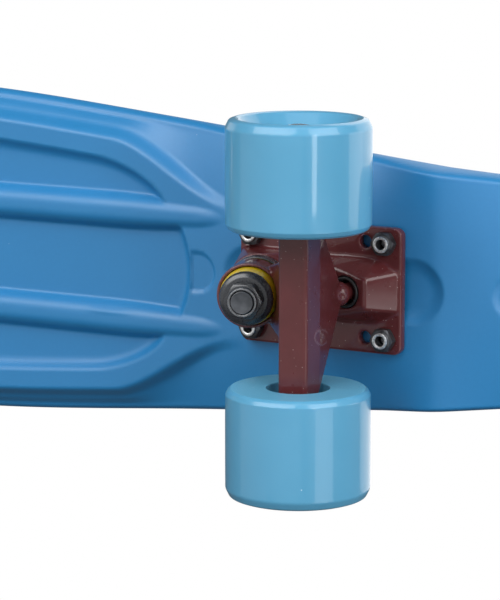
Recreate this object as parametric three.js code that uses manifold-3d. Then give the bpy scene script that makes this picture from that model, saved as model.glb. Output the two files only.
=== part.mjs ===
// Cruiser skateboard: a moulded plastic deck on two equal trucks with four wheels.
// Millimetres, +Z up. The board stands on its wheels, the nose points along +X, the tail along -X.
// The origin is on the ground under the middle of the board's length and width.

import * as THREE from "three";
import { ConvexGeometry } from "three/addons/geometries/ConvexGeometry.js";
import { mergeVertices } from "three/addons/utils/BufferGeometryUtils.js";
import Module from "manifold-3d";

const wasm = await Module();
wasm.setup();

// Driving dimensions of the whole board

const deckLength = 560;
const deckHalfWidth = 76.5;
const tailToAxle = 123; // from the tail's tip to the rear axle, along the board
const wheelbase = 338; // axle to axle
const truckHeight = 58.2; // from the axle's centre up to the deck's truck pad
const wheelRadius = 30;

// Fits

const seatGap = 0.3; // between a piece and its turned or cut neighbour
const boltGap = 0.25; // round a bolt in its nut
const faceGap = 0.3; // between faces that turn past each other
const overrun = 2; // how far a cutting body runs past the face that it opens

// Facets of round pieces

const wheelFacets = 26;
const roundFacets = 20;
const pivotFacets = 14;
const bearingFacets = 12;
const smallFacets = 10;
const hexFacets = 6;
const ballSteps = 3;
const channelSteps = 14;
const bowSteps = 6;
const roundSteps = 7;
const endSteps = 6;
const knuckleSteps = 4;

// Deck sizes

const deckThickness = 12.5; // at the centreline, from the truck pad to the top
const edgeHeight = 15.5; // from the truck pad up to the widest line of the edge, at the middle of the board
const edgeSink = 3; // how much lower that line runs at the trucks
const edgeSinkStart = 60; // distance from the middle of the board
const edgeSinkLength = 150;
const edgeRise = 19.5; // from the truck pad up to the top of the side rails
const lipInset = 3.2; // how far the rounded edge draws in above and below its widest line
const lipStart = 10.5; // height above the truck pad where the edge begins to round
const endLipInset = 7.5; // the same two sizes at the kicktail and the nose, where the underside is full
const endLipStart = 3;
const flangeHeight = 6.5; // step from the rails and the pad up to the thin outer flange
const flangeSlope = 5; // width of that step
const topFlatShare = 0.25; // share of the width that is flat along the middle of the top
const topDishShare = 0.72; // share of the width where the top's dish turns up to the rails
const topDishRise = 2.5; // rise of the top there
const padHalfWidth = 28.5;
const railInset = 11.5; // from the edge to the crest of a rail
const sweepStart = 58; // from an axle towards the middle, where the pad starts to widen
const sweepLength = 67; // over which it becomes the two rails
const padFade = 22; // length over which the flange's step dies out at the kicktail and the nose
const kickStart = 32; // from the rear axle towards the tail, where the kick begins
const kickRadius = 45;
const kickAngle = THREE.MathUtils.degToRad(17);
const noseStart = 36;
const noseRadius = 120;
const noseAngle = THREE.MathUtils.degToRad(11);
const tailRound = 44;
const tailSquareness = 2.7; // exponent of the tail's end, 2 is an ellipse
const noseRound = 118;
const noseSquareness = 2.15;
// half width along the length: [share of the half length, share of the half width]
const sideShares = [
  [-1, 0.57],
  [-0.75, 0.66],
  [-0.57, 0.726],
  [-0.21, 0.863],
  [0.13, 0.976],
  [0.38, 1],
  [0.64, 0.965],
  [1, 0.8],
];

// Channels, ribs and recesses of the deck's underside

const channelDepth = 4;
const channelDraft = 2.6; // how far the walls lean inward over that depth
const channelInset = 20.5; // from the edge to the outer channel's wall
const channelStart = 96; // from an axle towards the middle
const channelSweep = 40; // length of the wall's curve at each end
const centreStart = 84;
const centreBow = 31; // radius of the centre channel's bowed end
const ribCentre = 24.5;
const ribRadius = 8.1;
const ribHeight = 6; // from the channel floor
const ribStart = 71;
const dRecessDepth = 1.2;
const dRecessRadius = 9.6;
const dRecessLength = 12.5;
const dRecessWall = 2.2; // between the recess and the centre channel
const pillDepth = 2.5;
const pillHalfWidth = 14;
const pillInner = 68; // from the axle to the recess's inner end
const pillOuter = 38; // from the axle to its outer end
const stationStep = 16; // between the stations of the edge

// Truck: lengths outward from the axle towards the board's end, depths downward from the truck pad

const boltSpacingLong = 63.5;
const boltRowStep = 9.5; // from the outer bolts to the free holes beside them
const boltSpacingWide = 41.3;
const outerBoltOut = 13.3; // outer bolts, outward of the axle
const plateThickness = 4.5;
const plateMargin = 7.6; // plate beyond the outer bolts, lengthwise
const plateInnerMargin = 6.3; // and beyond the inner bolts
const plateHalfWidth = 27.3;
const plateCorner = 6;
const boltRadius = 2.4;
const boltHoleRadius = 2.75;
const spineHalfWidth = 14.6;
const spineDraft = 3;
const spineDepth = 9.5;
const spineInnerMargin = 1; // from the plate's inner end to the spine
const spineOuterMargin = 14;

const kingpinLean = THREE.MathUtils.degToRad(18.7); // nut end leans towards the board's end
const kingpinOut = -46.2; // where its axis crosses the pad, outward of the axle
const kingpinRadius = 4.75;
const kingpinHeadRadius = 8;
const kingpinHeadHeight = 5.5;
const kingpinHeadStation = 1.6; // stations run along the kingpin from the pad plane
const bossStation = 18.5;
const bossBand = 2.5; // straight band under the boss's flat face
const bossRadius = 14;
const bossFootOut = -27; // where its foot ends on the plate, outward of the axle
const washerThickness = 2;
const washerRadius = 13.6;
const washerCupWall = 1;
const washerCupHeight = 1.8;
const innerBushingHeight = 13.6;
const outerBushingHeight = 11;
const bushingRadius = 12.3;
const bushingTopRadius = 10.5;
const bushingBore = 5.3;
const bushingChamfer = 1.2;
const ringWeb = 6;
const ringRadius = 13.8;
const ringRim = 3.8;
const ringBore = 8;
const outerWasherRadius = 11.7;
const outerWasherFlat = 8.9;
const outerWasherDome = 1.6;
const outerWasherSkirt = 1.9;
const kingpinNutFlats = 14.3;
const kingpinNutHeight = 6.2;
const kingpinNutCollar = 1.9;
const kingpinNutCollarRadius = 6.2;
const kingpinProud = 0.4;

const ballOut = -0.1; // centre of the pivot, outward of the axle
const ballDepth = 8.6;
const ballRadius = 4.3;
const cupLean = THREE.MathUtils.degToRad(8); // mouth leans towards the kingpin
const cupRadius = 6.7;
const cupMouthRadius = 5.4;
const cupLength = 12.7;
const cupFloor = 1.7;
const cupProud = 0.4;
const knuckleRadius = 4.5;
const knuckleRise = 9;
const stemRadius = 3.6;
const stemLength = 17;
const pivotBossTopOut = 10.2; // crest of the pivot boss, outward of the axle
const pivotBossInnerOut = -9.5;
const pivotBossTopHalfWidth = 7;
const pivotBossMouthHalfWidth = 11;
const pivotBossFootHalfWidth = 9.2;
const pivotBossShoulder = 9.5; // from the plate's outer end to where the foot narrows
const pivotBossEndMargin = 1.2;
const pivotBossEndRise = 1.2; // the slope's low end above the plate's face

// Hanger

const hangerHalfLength = 42.5;
const beamHalfWidth = 6.7;
const beamBelow = 5.6; // beam from the axle's centre towards the ground
const beamAbove = 6.4; // and towards the deck
const beamCorner = 2.2;
const webHalfLength = 35;
const webTipHalfWidth = 3.6;
const webTipDepth = 21.5;
const webTipOut = 1.2; // outer face of the web's tip, outward of the axle
const webThickness = 7.5;
const saddleHalfWidth = 19;
const saddleTopDepth = 35;

// Axle, bearings and wheels

const axleRadius = 3.97;
const axleProud = 0.4; // axle's end beyond its nut
const speedWasherThickness = 0.9;
const speedWasherRadius = 5.6;
const bearingRadius = 11;
const bearingWidth = 7;
const bearingSpacer = 10;
const spacerRadius = 5.2;
const bearingLand = 8.8; // radius where the bearing's outer ring ends
const bearingInnerLand = 6;
const bearingShieldDepth = 0.5;
const axleNutFlats = 12.7;
const axleNutHeight = 5;
const axleNutCollar = 1.4;
const axleNutCollarRadius = 5.4;
const wheelWidth = 45.7;
const wheelRecessRadius = 13.1;
const wheelFlatRadius = 27.8;
const wheelChamfer = 2.2;
const wheelCrestRadius = 25.8;
const wheelLip = 4.2;
const wheelDishRadius = 13.4;
const wheelShoulderRadius = 8.6;
const lipSteps = 3;

// Mounting bolts and nuts

const boltHeadRadius = 4.5;
const boltHeadHeight = 2.6;
const boltHeadSink = 0.6; // head below the deck's top
const mountNutFlats = 9.5;
const mountNutHeight = 4;
const mountNutCollar = 1.4;
const mountNutCollarRadius = 3.7;
const boltEndSink = 0.8; // bolt's end below the nut's collar

// Places that follow from the sizes

const axleHeight = wheelRadius * Math.cos(Math.PI / wheelFacets); // wheels rest on a facet
const padHeight = axleHeight + truckHeight;
const rearAxleX = tailToAxle - deckLength / 2;
const frontAxleX = rearAxleX + wheelbase;
const middleX = (rearAxleX + frontAxleX) / 2;
const innerBoltOut = outerBoltOut - boltSpacingLong;
const washerSeat = bossStation + washerThickness;
const ringStation = washerSeat + innerBushingHeight;
const outerBushingStation = ringStation + ringWeb;
const outerWasherStation = outerBushingStation + outerBushingHeight;
const kingpinNutStation = outerWasherStation + outerWasherDome;
const kingpinEnd = kingpinNutStation + kingpinNutHeight + kingpinNutCollar + kingpinProud;
const bearingInnerFace = hangerHalfLength + speedWasherThickness + faceGap;
const axleNutFace = bearingInnerFace + 2 * bearingWidth + bearingSpacer + speedWasherThickness + faceGap;
const axleHalfLength = axleNutFace + axleNutHeight + axleNutCollar + axleProud;

// Materials

function finish(color, roughness, metalness) {
  return new THREE.MeshStandardMaterial({ color, roughness, metalness });
}
const deckPlastic = finish(0x3b7fbd, 0.55, 0);
const wheelUrethane = finish(0x5fa9d3, 0.25, 0);
const truckPaint = finish(0x5c3537, 0.35, 0.3);
const bushingUrethane = finish(0xd8c22e, 0.45, 0);
const blackSteel = finish(0x33363c, 0.4, 0.8);
const plainSteel = finish(0xa9adb3, 0.35, 0.9);
const cupPlastic = finish(0x17181b, 0.6, 0);

// Solids

function solid(geometry) {
  const bare = geometry.index ? geometry.toNonIndexed() : geometry.clone();
  bare.deleteAttribute("normal");
  bare.deleteAttribute("uv");
  const merged = mergeVertices(bare);
  return new wasm.Manifold(
    new wasm.Mesh({
      numProp: 3,
      vertProperties: merged.getAttribute("position").array,
      triVerts: new Uint32Array(merged.index.array),
    }),
  );
}

function geometryOf(made) {
  const mesh = made.getMesh();
  const geometry = new THREE.BufferGeometry();
  geometry.setAttribute("position", new THREE.BufferAttribute(new Float32Array(mesh.vertProperties), 3));
  geometry.setIndex(new THREE.BufferAttribute(new Uint32Array(mesh.triVerts), 1));
  const faceted = geometry.toNonIndexed();
  faceted.computeVertexNormals();
  return faceted;
}

function shaped(body, { joins = [], cuts = [] }) {
  let made = solid(body);
  for (const piece of joins) made = made.add(solid(piece));
  for (const piece of cuts) made = made.subtract(solid(piece));
  return geometryOf(made);
}

// A profile of [radius, height] points turned about the Y axis, its points in either order.
function turned(profile, facets, startAngle = 0) {
  let area = 0;
  profile.forEach(([r, h], i) => {
    const [nextR, nextH] = profile[(i + 1) % profile.length];
    area += r * nextH - nextR * h;
  });
  const ordered = area > 0 ? profile : [...profile].reverse();
  const onAxis = profile.some(([r]) => r === 0);
  let points = ordered.map(([r, h]) => new THREE.Vector2(r, h));
  if (onAxis) {
    while (!(points[0].x === 0 && points[points.length - 1].x === 0)) points.push(points.shift());
  } else {
    points.push(points[0].clone());
  }
  return new THREE.LatheGeometry(points, facets, startAngle);
}

// The same, standing along +Z.
function turnedUp(profile, facets) {
  return turned(profile, facets).rotateX(Math.PI / 2);
}

function rod(radius, from, to, facets) {
  return turnedUp(
    [
      [0, from],
      [radius, from],
      [radius, to],
      [0, to],
    ],
    facets,
  );
}

function hull(points) {
  return new ConvexGeometry(points.map(([x, y, z]) => new THREE.Vector3(x, y, z)));
}

function hexRod(flats, from, to) {
  const radius = flats / 2 / Math.cos(Math.PI / hexFacets);
  return rod(radius, from, to, hexFacets);
}

function lockNut(flats, height, collar, collarRadius, bore) {
  return shaped(hexRod(flats, 0, height), {
    joins: [rod(collarRadius, height - collar, height + collar, smallFacets)],
    cuts: [rod(bore, -overrun, height + collar + overrun, smallFacets)],
  });
}

function named(name, geometry, material, parent) {
  const mesh = new THREE.Mesh(geometry, material);
  mesh.name = name;
  parent.add(mesh);
  return mesh;
}

// Deck

function smooth(t) {
  const clamped = THREE.MathUtils.clamp(t, 0, 1);
  return clamped * clamped * (3 - 2 * clamped);
}

// Cubic interpolation through [place, value] rows, level with their neighbours' slope.
function alongShares(rows, place) {
  const last = rows.length - 1;
  let i = 0;
  while (i < last - 1 && place > rows[i + 1][0]) i += 1;
  const slope = (k) => {
    const a = rows[Math.max(k - 1, 0)];
    const b = rows[Math.min(k + 1, last)];
    return (b[1] - a[1]) / (b[0] - a[0]);
  };
  const span = rows[i + 1][0] - rows[i][0];
  const t = THREE.MathUtils.clamp((place - rows[i][0]) / span, 0, 1);
  const from = rows[i][1] * (1 + 2 * t) * (1 - t) * (1 - t) + slope(i) * span * t * (1 - t) * (1 - t);
  const to = rows[i + 1][1] * t * t * (3 - 2 * t) - slope(i + 1) * span * t * t * (1 - t);
  return from + to;
}

function sideAt(x) {
  return deckHalfWidth * alongShares(sideShares, (2 * x) / deckLength);
}

// Rise of a bent end: an arc, then its tangent.
function bendRise(distance, radius, angle) {
  if (distance <= 0) return 0;
  const arcLength = radius * Math.sin(angle);
  if (distance < arcLength) return radius - Math.sqrt(radius * radius - distance * distance);
  return radius * (1 - Math.cos(angle)) + (distance - arcLength) * Math.tan(angle);
}

function riseAt(x) {
  const tail = bendRise(rearAxleX - kickStart - x, kickRadius, kickAngle);
  const nose = bendRise(x - frontAxleX - noseStart, noseRadius, noseAngle);
  return tail + nose;
}

// Distance from the nearer axle towards the middle of the board; negative outboard of it.
function inboard(x) {
  return x < middleX ? x - rearAxleX : frontAxleX - x;
}

function crestAt(x, half) {
  const spread = smooth((inboard(x) - sweepStart) / sweepLength);
  return padHalfWidth + spread * (half - railInset - padHalfWidth);
}

function flangeShare(x) {
  const tailFade = smooth((x - (rearAxleX - kickStart)) / padFade);
  const noseFade = smooth((frontAxleX + noseStart - x) / padFade);
  return Math.min(tailFade, noseFade);
}

// Half of the outline from the tail's tip to the nose's tip, as [x, half width, skeleton x].
function halfOutline(ends, sideStep) {
  const points = [];
  const tailX = -deckLength / 2;
  const noseX = deckLength / 2;
  const tailFocus = tailX + tailRound;
  const noseFocus = noseX - noseRound;
  for (let i = 0; i <= ends; i += 1) {
    const angle = (i / ends) * (Math.PI / 2);
    const x = tailFocus - tailRound * Math.cos(angle) ** (2 / tailSquareness);
    points.push([x, sideAt(x) * Math.sin(angle) ** (2 / tailSquareness), tailFocus]);
  }
  const steps = Math.round((noseFocus - tailFocus) / sideStep);
  for (let i = 1; i < steps; i += 1) {
    const x = THREE.MathUtils.lerp(tailFocus, noseFocus, i / steps);
    points.push([x, sideAt(x), x]);
  }
  for (let i = ends; i >= 0; i -= 1) {
    const angle = (i / ends) * (Math.PI / 2);
    const x = noseFocus + noseRound * Math.cos(angle) ** (2 / noseSquareness);
    points.push([x, sideAt(x) * Math.sin(angle) ** (2 / noseSquareness), noseFocus]);
  }
  points[0][1] = 0;
  points[points.length - 1][1] = 0;
  return points;
}

// Rings of one spoke from the skeleton out over the underside, round the edge and back over the top,
// as [distance from the skeleton, height above the truck pad].
function spokeRings(x, reach) {
  const share = flangeShare(x);
  const inset = THREE.MathUtils.lerp(endLipInset, lipInset, share);
  const lip = THREE.MathUtils.lerp(endLipStart, lipStart, share);
  const crest = Math.min(crestAt(x, reach), reach - railInset);
  const foot = crest + Math.min(flangeSlope, (reach - inset - crest) / 2);
  const middle = Math.abs(x - middleX) - edgeSinkStart;
  const edge = edgeHeight - edgeSink * smooth(middle / edgeSinkLength);
  const dishTop = deckThickness + topDishRise;
  return [
    [0, 0],
    [crest, 0],
    [foot, flangeHeight * share],
    [reach - inset, lip],
    [reach, edge],
    [reach - lipInset, edgeRise],
    [reach * topDishShare, dishTop],
    [reach * topFlatShare, deckThickness],
    [0, deckThickness],
  ];
}

function deckHull() {
  const half = halfOutline(endSteps, stationStep);
  const whole = [...half, ...half.slice(1, -1).reverse().map(([x, y, s]) => [x, -y, s])];
  const positions = [];
  const spokes = whole.map(([x, y, s]) => {
    const reach = Math.hypot(x - s, y);
    return spokeRings(x, reach).map(([distance, height]) => {
      const share = distance / reach;
      const px = s + (x - s) * share;
      return [px, y * share, padHeight + height + riseAt(px)];
    });
  });
  const push = (a, b, c) => positions.push(...a, ...b, ...c);
  spokes.forEach((spoke, i) => {
    const next = spokes[(i + 1) % spokes.length];
    for (let k = 0; k < spoke.length - 1; k += 1) {
      push(spoke[k], spoke[k + 1], next[k + 1]);
      push(spoke[k], next[k + 1], next[k]);
    }
  });
  const geometry = new THREE.BufferGeometry();
  geometry.setAttribute("position", new THREE.Float32BufferAttribute(positions, 3));
  return withoutSlivers(geometry);
}

// Drops the triangles that closed up where spokes share a skeleton point.
function withoutSlivers(geometry) {
  const merged = mergeVertices(geometry);
  const index = merged.index.array;
  const kept = [];
  for (let i = 0; i < index.length; i += 3) {
    const [a, b, c] = [index[i], index[i + 1], index[i + 2]];
    if (a !== b && b !== c && c !== a) kept.push(a, b, c);
  }
  merged.setIndex(kept);
  return merged;
}

function arc(x, y, radius, from, to, steps) {
  const points = [];
  for (let i = 0; i <= steps; i += 1) {
    const angle = THREE.MathUtils.lerp(from, to, i / steps);
    points.push([x + radius * Math.cos(angle), y + radius * Math.sin(angle)]);
  }
  return points;
}

// A recess cut upward from the pad plane. outlineAt(inset) gives its outline, drawn in by the inset, and the
// walls lean inward by the draft over the depth.
function padCut(outlineAt, depth, draft) {
  const low = outlineAt((-draft * overrun) / depth);
  const high = outlineAt(draft);
  if (THREE.ShapeUtils.area(low.map(([x, y]) => new THREE.Vector2(x, y))) < 0) {
    low.reverse();
    high.reverse();
  }
  const faces = THREE.ShapeUtils.triangulateShape(
    low.map(([x, y]) => new THREE.Vector2(x, y)),
    [],
  );
  const positions = [];
  const push = (...corners) => corners.forEach((corner) => positions.push(...corner));
  const lowAt = (i) => [...low[i % low.length], padHeight - overrun];
  const highAt = (i) => [...high[i % high.length], padHeight + depth];
  low.forEach((point, i) => {
    push(lowAt(i), lowAt(i + 1), highAt(i + 1));
    push(lowAt(i), highAt(i + 1), highAt(i));
  });
  for (const [i, j, k] of faces) {
    push(lowAt(i), lowAt(k), lowAt(j));
    push(highAt(i), highAt(j), highAt(k));
  }
  const geometry = new THREE.BufferGeometry();
  geometry.setAttribute("position", new THREE.Float32BufferAttribute(positions, 3));
  return geometry;
}

function sideChannel(side) {
  return padCut(
    (inset) => {
      const from = rearAxleX + channelStart + inset;
      const to = frontAxleX - channelStart - inset;
      const wall = [];
      for (let i = 0; i <= channelSteps; i += 1) {
        const x = THREE.MathUtils.lerp(from, to, (1 - Math.cos((Math.PI * i) / channelSteps)) / 2);
        const left = THREE.MathUtils.clamp((inboard(x) - channelStart - inset) / channelSweep, 0, 1);
        const bow = Math.sqrt(1 - (1 - left) * (1 - left));
        wall.push([x, side * (ribCentre + bow * (sideAt(x) - channelInset - inset - ribCentre))]);
      }
      return wall;
    },
    channelDepth,
    channelDraft,
  );
}

function centreChannel() {
  const rear = rearAxleX + centreStart + centreBow;
  const front = frontAxleX - centreStart - centreBow;
  return padCut(
    (inset) => {
      const radius = centreBow - inset;
      const spread = Math.asin(ribCentre / radius);
      return [
        ...arc(front, 0, radius, -spread, spread, bowSteps),
        ...arc(rear, 0, radius, Math.PI - spread, Math.PI + spread, bowSteps),
      ];
    },
    channelDepth,
    channelDraft,
  );
}

function rib(side) {
  const from = rearAxleX + ribStart;
  const to = frontAxleX - ribStart;
  const straight = to - from - 2 * ribRadius;
  const geometry = new THREE.CapsuleGeometry(ribRadius, straight, 3, 10);
  geometry.rotateZ(Math.PI / 2);
  geometry.scale(1, 1, ribHeight / ribRadius);
  return geometry.translate((from + to) / 2, side * ribCentre, padHeight + channelDepth);
}

function dRecess(axleX, outward) {
  const flat = axleX - outward * (centreStart - dRecessWall);
  const centre = flat + outward * (dRecessLength - dRecessRadius);
  const start = (-outward * Math.PI) / 2;
  return padCut(
    (inset) => {
      const radius = dRecessRadius - inset;
      return [
        ...arc(centre, 0, radius, start, start + Math.PI, roundSteps),
        [flat + outward * inset, outward * radius],
        [flat + outward * inset, -outward * radius],
      ];
    },
    dRecessDepth,
    dRecessDepth,
  );
}

function pillRecess(axleX, outward) {
  const inner = axleX - outward * (pillInner - pillHalfWidth);
  const outer = axleX + outward * (pillOuter - pillHalfWidth);
  const left = Math.min(inner, outer);
  const right = Math.max(inner, outer);
  return padCut(
    (inset) => [
      ...arc(right, 0, pillHalfWidth - inset, -Math.PI / 2, Math.PI / 2, roundSteps),
      ...arc(left, 0, pillHalfWidth - inset, Math.PI / 2, (3 * Math.PI) / 2, roundSteps),
    ],
    pillDepth,
    pillDepth,
  );
}

function deckBoltHole(x, y) {
  const sinkStart = deckThickness - boltHeadSink - boltHeadHeight;
  return turnedUp(
    [
      [0, -overrun],
      [boltHoleRadius, -overrun],
      [boltHoleRadius, sinkStart - seatGap],
      [boltHeadRadius + seatGap, deckThickness - boltHeadSink - seatGap],
      [boltHeadRadius + seatGap, deckThickness + topDishRise + overrun],
      [0, deckThickness + topDishRise + overrun],
    ],
    smallFacets,
  ).translate(x, y, padHeight);
}

function boltPlaces() {
  return [outerBoltOut, innerBoltOut].flatMap((out) =>
    [1, -1].map((side) => [out, (side * boltSpacingWide) / 2]),
  );
}

function buildDeck() {
  const ends = [
    [rearAxleX, -1],
    [frontAxleX, 1],
  ];
  const holes = ends.flatMap(([axleX, outward]) =>
    boltPlaces().map(([out, y]) => deckBoltHole(axleX + outward * out, y)),
  );
  let made = solid(deckHull());
  const cuts = [sideChannel(1), sideChannel(-1), centreChannel()];
  for (const [axleX, outward] of ends) {
    cuts.push(dRecess(axleX, outward), pillRecess(axleX, outward));
  }
  for (const cut of cuts) made = made.subtract(solid(cut));
  for (const side of [1, -1]) made = made.add(solid(rib(side)));
  for (const hole of holes) made = made.subtract(solid(hole));
  return geometryOf(made);
}

// Truck: x runs outward towards the board's end, z up, with zero at the axle's x and the truck pad.

function roundedPlate(x0, x1, halfWidth, corner) {
  const shape = new THREE.Shape();
  shape.absarc(x1 - corner, halfWidth - corner, corner, 0, Math.PI / 2, false);
  shape.absarc(x0 + corner, halfWidth - corner, corner, Math.PI / 2, Math.PI, false);
  shape.absarc(x0 + corner, corner - halfWidth, corner, Math.PI, 1.5 * Math.PI, false);
  shape.absarc(x1 - corner, corner - halfWidth, corner, 1.5 * Math.PI, 2 * Math.PI, false);
  return shape;
}

// Moves a piece that is built along +Z to the kingpin, with +Z running down along it.
function onKingpin(geometry) {
  return geometry.rotateY(Math.PI - kingpinLean).translate(kingpinOut, 0, 0);
}

// The same for the pivot, with zero at the ball's centre and +Z running out of the cup.
function onPivot(geometry) {
  return geometry.rotateY(Math.PI + cupLean).translate(ballOut, 0, -ballDepth);
}

function buildBaseplate() {
  const innerEnd = innerBoltOut - plateInnerMargin;
  const outerEnd = outerBoltOut + plateMargin;
  const plateShape = roundedPlate(innerEnd, outerEnd, plateHalfWidth, plateCorner);
  const holeRows = [outerBoltOut, innerBoltOut, outerBoltOut - boltRowStep];
  for (const out of holeRows) {
    for (const side of [1, -1]) {
      const hole = new THREE.Path();
      hole.absarc(out, (side * boltSpacingWide) / 2, boltHoleRadius, 0, 2 * Math.PI, true);
      plateShape.holes.push(hole);
    }
  }
  const plate = new THREE.ExtrudeGeometry(plateShape, {
    depth: plateThickness,
    bevelEnabled: false,
    curveSegments: 4,
  }).translate(0, 0, -plateThickness);

  const spineFrom = innerEnd + spineInnerMargin;
  const spineTo = outerEnd - spineOuterMargin;
  const spineTop = spineHalfWidth - spineDraft;
  const foot = -plateThickness / 2;
  const spine = hull(
    [1, -1].flatMap((side) => [
      [spineFrom, side * spineHalfWidth, foot],
      [spineTo, side * spineHalfWidth, foot],
      [spineFrom + spineDraft, side * spineTop, -spineDepth],
      [spineTo - spineDraft, side * spineTop, -spineDepth],
    ]),
  );
  const rimPoint = (angle, station) =>
    new THREE.Vector3(bossRadius * Math.cos(angle), bossRadius * Math.sin(angle), station)
      .applyAxisAngle(new THREE.Vector3(0, 1, 0), Math.PI - kingpinLean)
      .add(new THREE.Vector3(kingpinOut, 0, 0))
      .toArray();
  const rim = [];
  for (let i = 0; i < roundFacets; i += 1) {
    const angle = (i / roundFacets) * 2 * Math.PI;
    rim.push(rimPoint(angle, bossStation), rimPoint(angle, bossStation - bossBand));
  }
  const kingpinBoss = hull([
    ...rim,
    ...[1, -1].flatMap((side) => [
      [spineFrom, side * spineHalfWidth, foot],
      [bossFootOut, side * spineHalfWidth, foot],
    ]),
  ]);
  // the mouth face rises outward with the cup's lean, then the boss slopes down to the plate's end
  const mouth = cupLength - cupFloor - ballRadius - seatGap - cupProud;
  const mouthOut = ballOut - mouth * Math.sin(cupLean);
  const mouthDepth = ballDepth + mouth * Math.cos(cupLean);
  const mouthAt = (out) => -(mouthDepth + (out - mouthOut) * Math.tan(cupLean));
  const pivotBoss = hull(
    [1, -1].flatMap((side) => [
      [pivotBossInnerOut, side * spineHalfWidth, foot],
      [outerEnd - pivotBossShoulder, side * spineHalfWidth, foot],
      [pivotBossInnerOut, side * pivotBossMouthHalfWidth, mouthAt(pivotBossInnerOut)],
      [pivotBossTopOut, side * pivotBossTopHalfWidth, mouthAt(pivotBossTopOut)],
      [outerEnd - pivotBossEndMargin, side * pivotBossFootHalfWidth, -plateThickness - pivotBossEndRise],
    ]),
  );
  const kingpinBoreRadius = kingpinRadius + seatGap;
  const kingpinBore = onKingpin(rod(kingpinBoreRadius, -2 * overrun, bossStation + overrun, smallFacets));
  const headPocket = onKingpin(
    rod(
      kingpinHeadRadius + seatGap,
      -3 * overrun,
      kingpinHeadStation + kingpinHeadHeight + seatGap,
      roundFacets,
    ),
  );
  const cupBore = onPivot(
    rod(cupRadius + seatGap, -ballRadius - cupFloor - 2 * seatGap, mouth + 2 * overrun, pivotFacets),
  );
  return shaped(plate, {
    joins: [spine, kingpinBoss, pivotBoss],
    cuts: [kingpinBore, headPocket, cupBore],
  });
}

// Quarter circle of a spherical seat or tip about the ball's centre, from its lowest point outward.
function ballArc(radius, steps) {
  const arc = [];
  for (let i = 0; i <= steps; i += 1) {
    const angle = (i / steps) * (Math.PI / 2);
    arc.push([radius * Math.sin(angle), -radius * Math.cos(angle)]);
  }
  return arc;
}

function buildPivotCup() {
  const seat = ballArc(ballRadius + seatGap, ballSteps);
  seat[0][0] = 0;
  const floor = -ballRadius - seatGap - cupFloor;
  const mouth = floor + cupLength;
  return onPivot(
    turnedUp(
      [[0, floor], [cupRadius, floor], [cupRadius, mouth], [cupMouthRadius, mouth], ...seat.reverse()],
      pivotFacets,
    ),
  );
}

function buildStem() {
  const tip = ballArc(ballRadius, ballSteps);
  tip[0][0] = 0;
  const knuckle = [];
  for (let i = 0; i <= knuckleSteps; i += 1) {
    const angle = (i / knuckleSteps) * Math.PI;
    const reach = Math.max(knuckleRadius * Math.sin(angle), stemRadius);
    knuckle.push([reach, knuckleRise - knuckleRadius * Math.cos(angle)]);
  }
  return onPivot(turnedUp([...tip, ...knuckle, [stemRadius, stemLength], [0, stemLength]], pivotFacets));
}

function buildHanger() {
  const section = roundedPlate(
    -beamHalfWidth,
    beamHalfWidth,
    (beamAbove + beamBelow) / 2,
    beamCorner,
  );
  const beamMiddle = -truckHeight + (beamAbove - beamBelow) / 2;
  const beam = new THREE.ExtrudeGeometry(section, {
    depth: 2 * hangerHalfLength,
    bevelEnabled: false,
    curveSegments: 2,
  })
    .rotateX(Math.PI / 2)
    .translate(0, hangerHalfLength, beamMiddle);

  const beamTop = -truckHeight + beamAbove;
  const web = hull(
    [1, -1].flatMap((side) => [
      [beamHalfWidth - webThickness, side * webHalfLength, beamTop - beamCorner],
      [beamHalfWidth, side * webHalfLength, beamTop - beamCorner],
      [beamHalfWidth - webThickness, side * webHalfLength, beamTop],
      [beamHalfWidth, side * webHalfLength, beamTop],
      [webTipOut - webThickness, side * webTipHalfWidth, -webTipDepth],
      [webTipOut, side * webTipHalfWidth, -webTipDepth],
    ]),
  );
  const ring = onKingpin(
    turnedUp(
      [
        [ringBore, ringStation],
        [ringBore, outerBushingStation],
        [bushingRadius + seatGap, outerBushingStation],
        [bushingRadius + seatGap, outerBushingStation + ringRim],
        [ringRadius, outerBushingStation + ringRim],
        [ringRadius, ringStation - ringRim / 2],
        [bushingRadius + seatGap, ringStation - ringRim / 2],
        [bushingRadius + seatGap, ringStation],
      ],
      roundFacets,
    ),
  );
  // the saddle carries the ring: a wedge from the ring's outer half to the beam
  const ringSide = (station, across, side) => {
    const x = kingpinOut + station * Math.sin(kingpinLean) + across * Math.cos(kingpinLean);
    const z = -station * Math.cos(kingpinLean) + across * Math.sin(kingpinLean);
    return [x, side * (ringRadius - ringRim / 2), z];
  };
  const saddle = hull(
    [1, -1].flatMap((side) => [
      ringSide(ringStation, ringBore, side),
      ringSide(outerBushingStation, ringBore, side),
      [-beamHalfWidth, side * saddleHalfWidth, beamTop - beamCorner],
      [beamHalfWidth - webThickness, side * saddleHalfWidth, beamTop - beamCorner],
      [webTipOut - webThickness, side * ringBore, -saddleTopDepth],
      [-beamHalfWidth, side * ringBore, -saddleTopDepth],
    ]),
  );
  const outerClear = onKingpin(
    rod(bushingRadius + seatGap, outerBushingStation, kingpinEnd, roundFacets),
  );
  const innerClear = onKingpin(rod(bushingRadius + seatGap, bossStation, ringStation, roundFacets));
  const boreClear = onKingpin(rod(ringBore, bossStation, kingpinEnd, roundFacets));
  const axleBore = turned(
    [
      [0, -hangerHalfLength - overrun],
      [axleRadius + seatGap, -hangerHalfLength - overrun],
      [axleRadius + seatGap, hangerHalfLength + overrun],
      [0, hangerHalfLength + overrun],
    ],
    smallFacets,
  ).translate(0, 0, -truckHeight);
  return shaped(beam, {
    joins: [web, saddle, ring, buildStem()],
    cuts: [outerClear, innerClear, boreClear, axleBore],
  });
}

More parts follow.
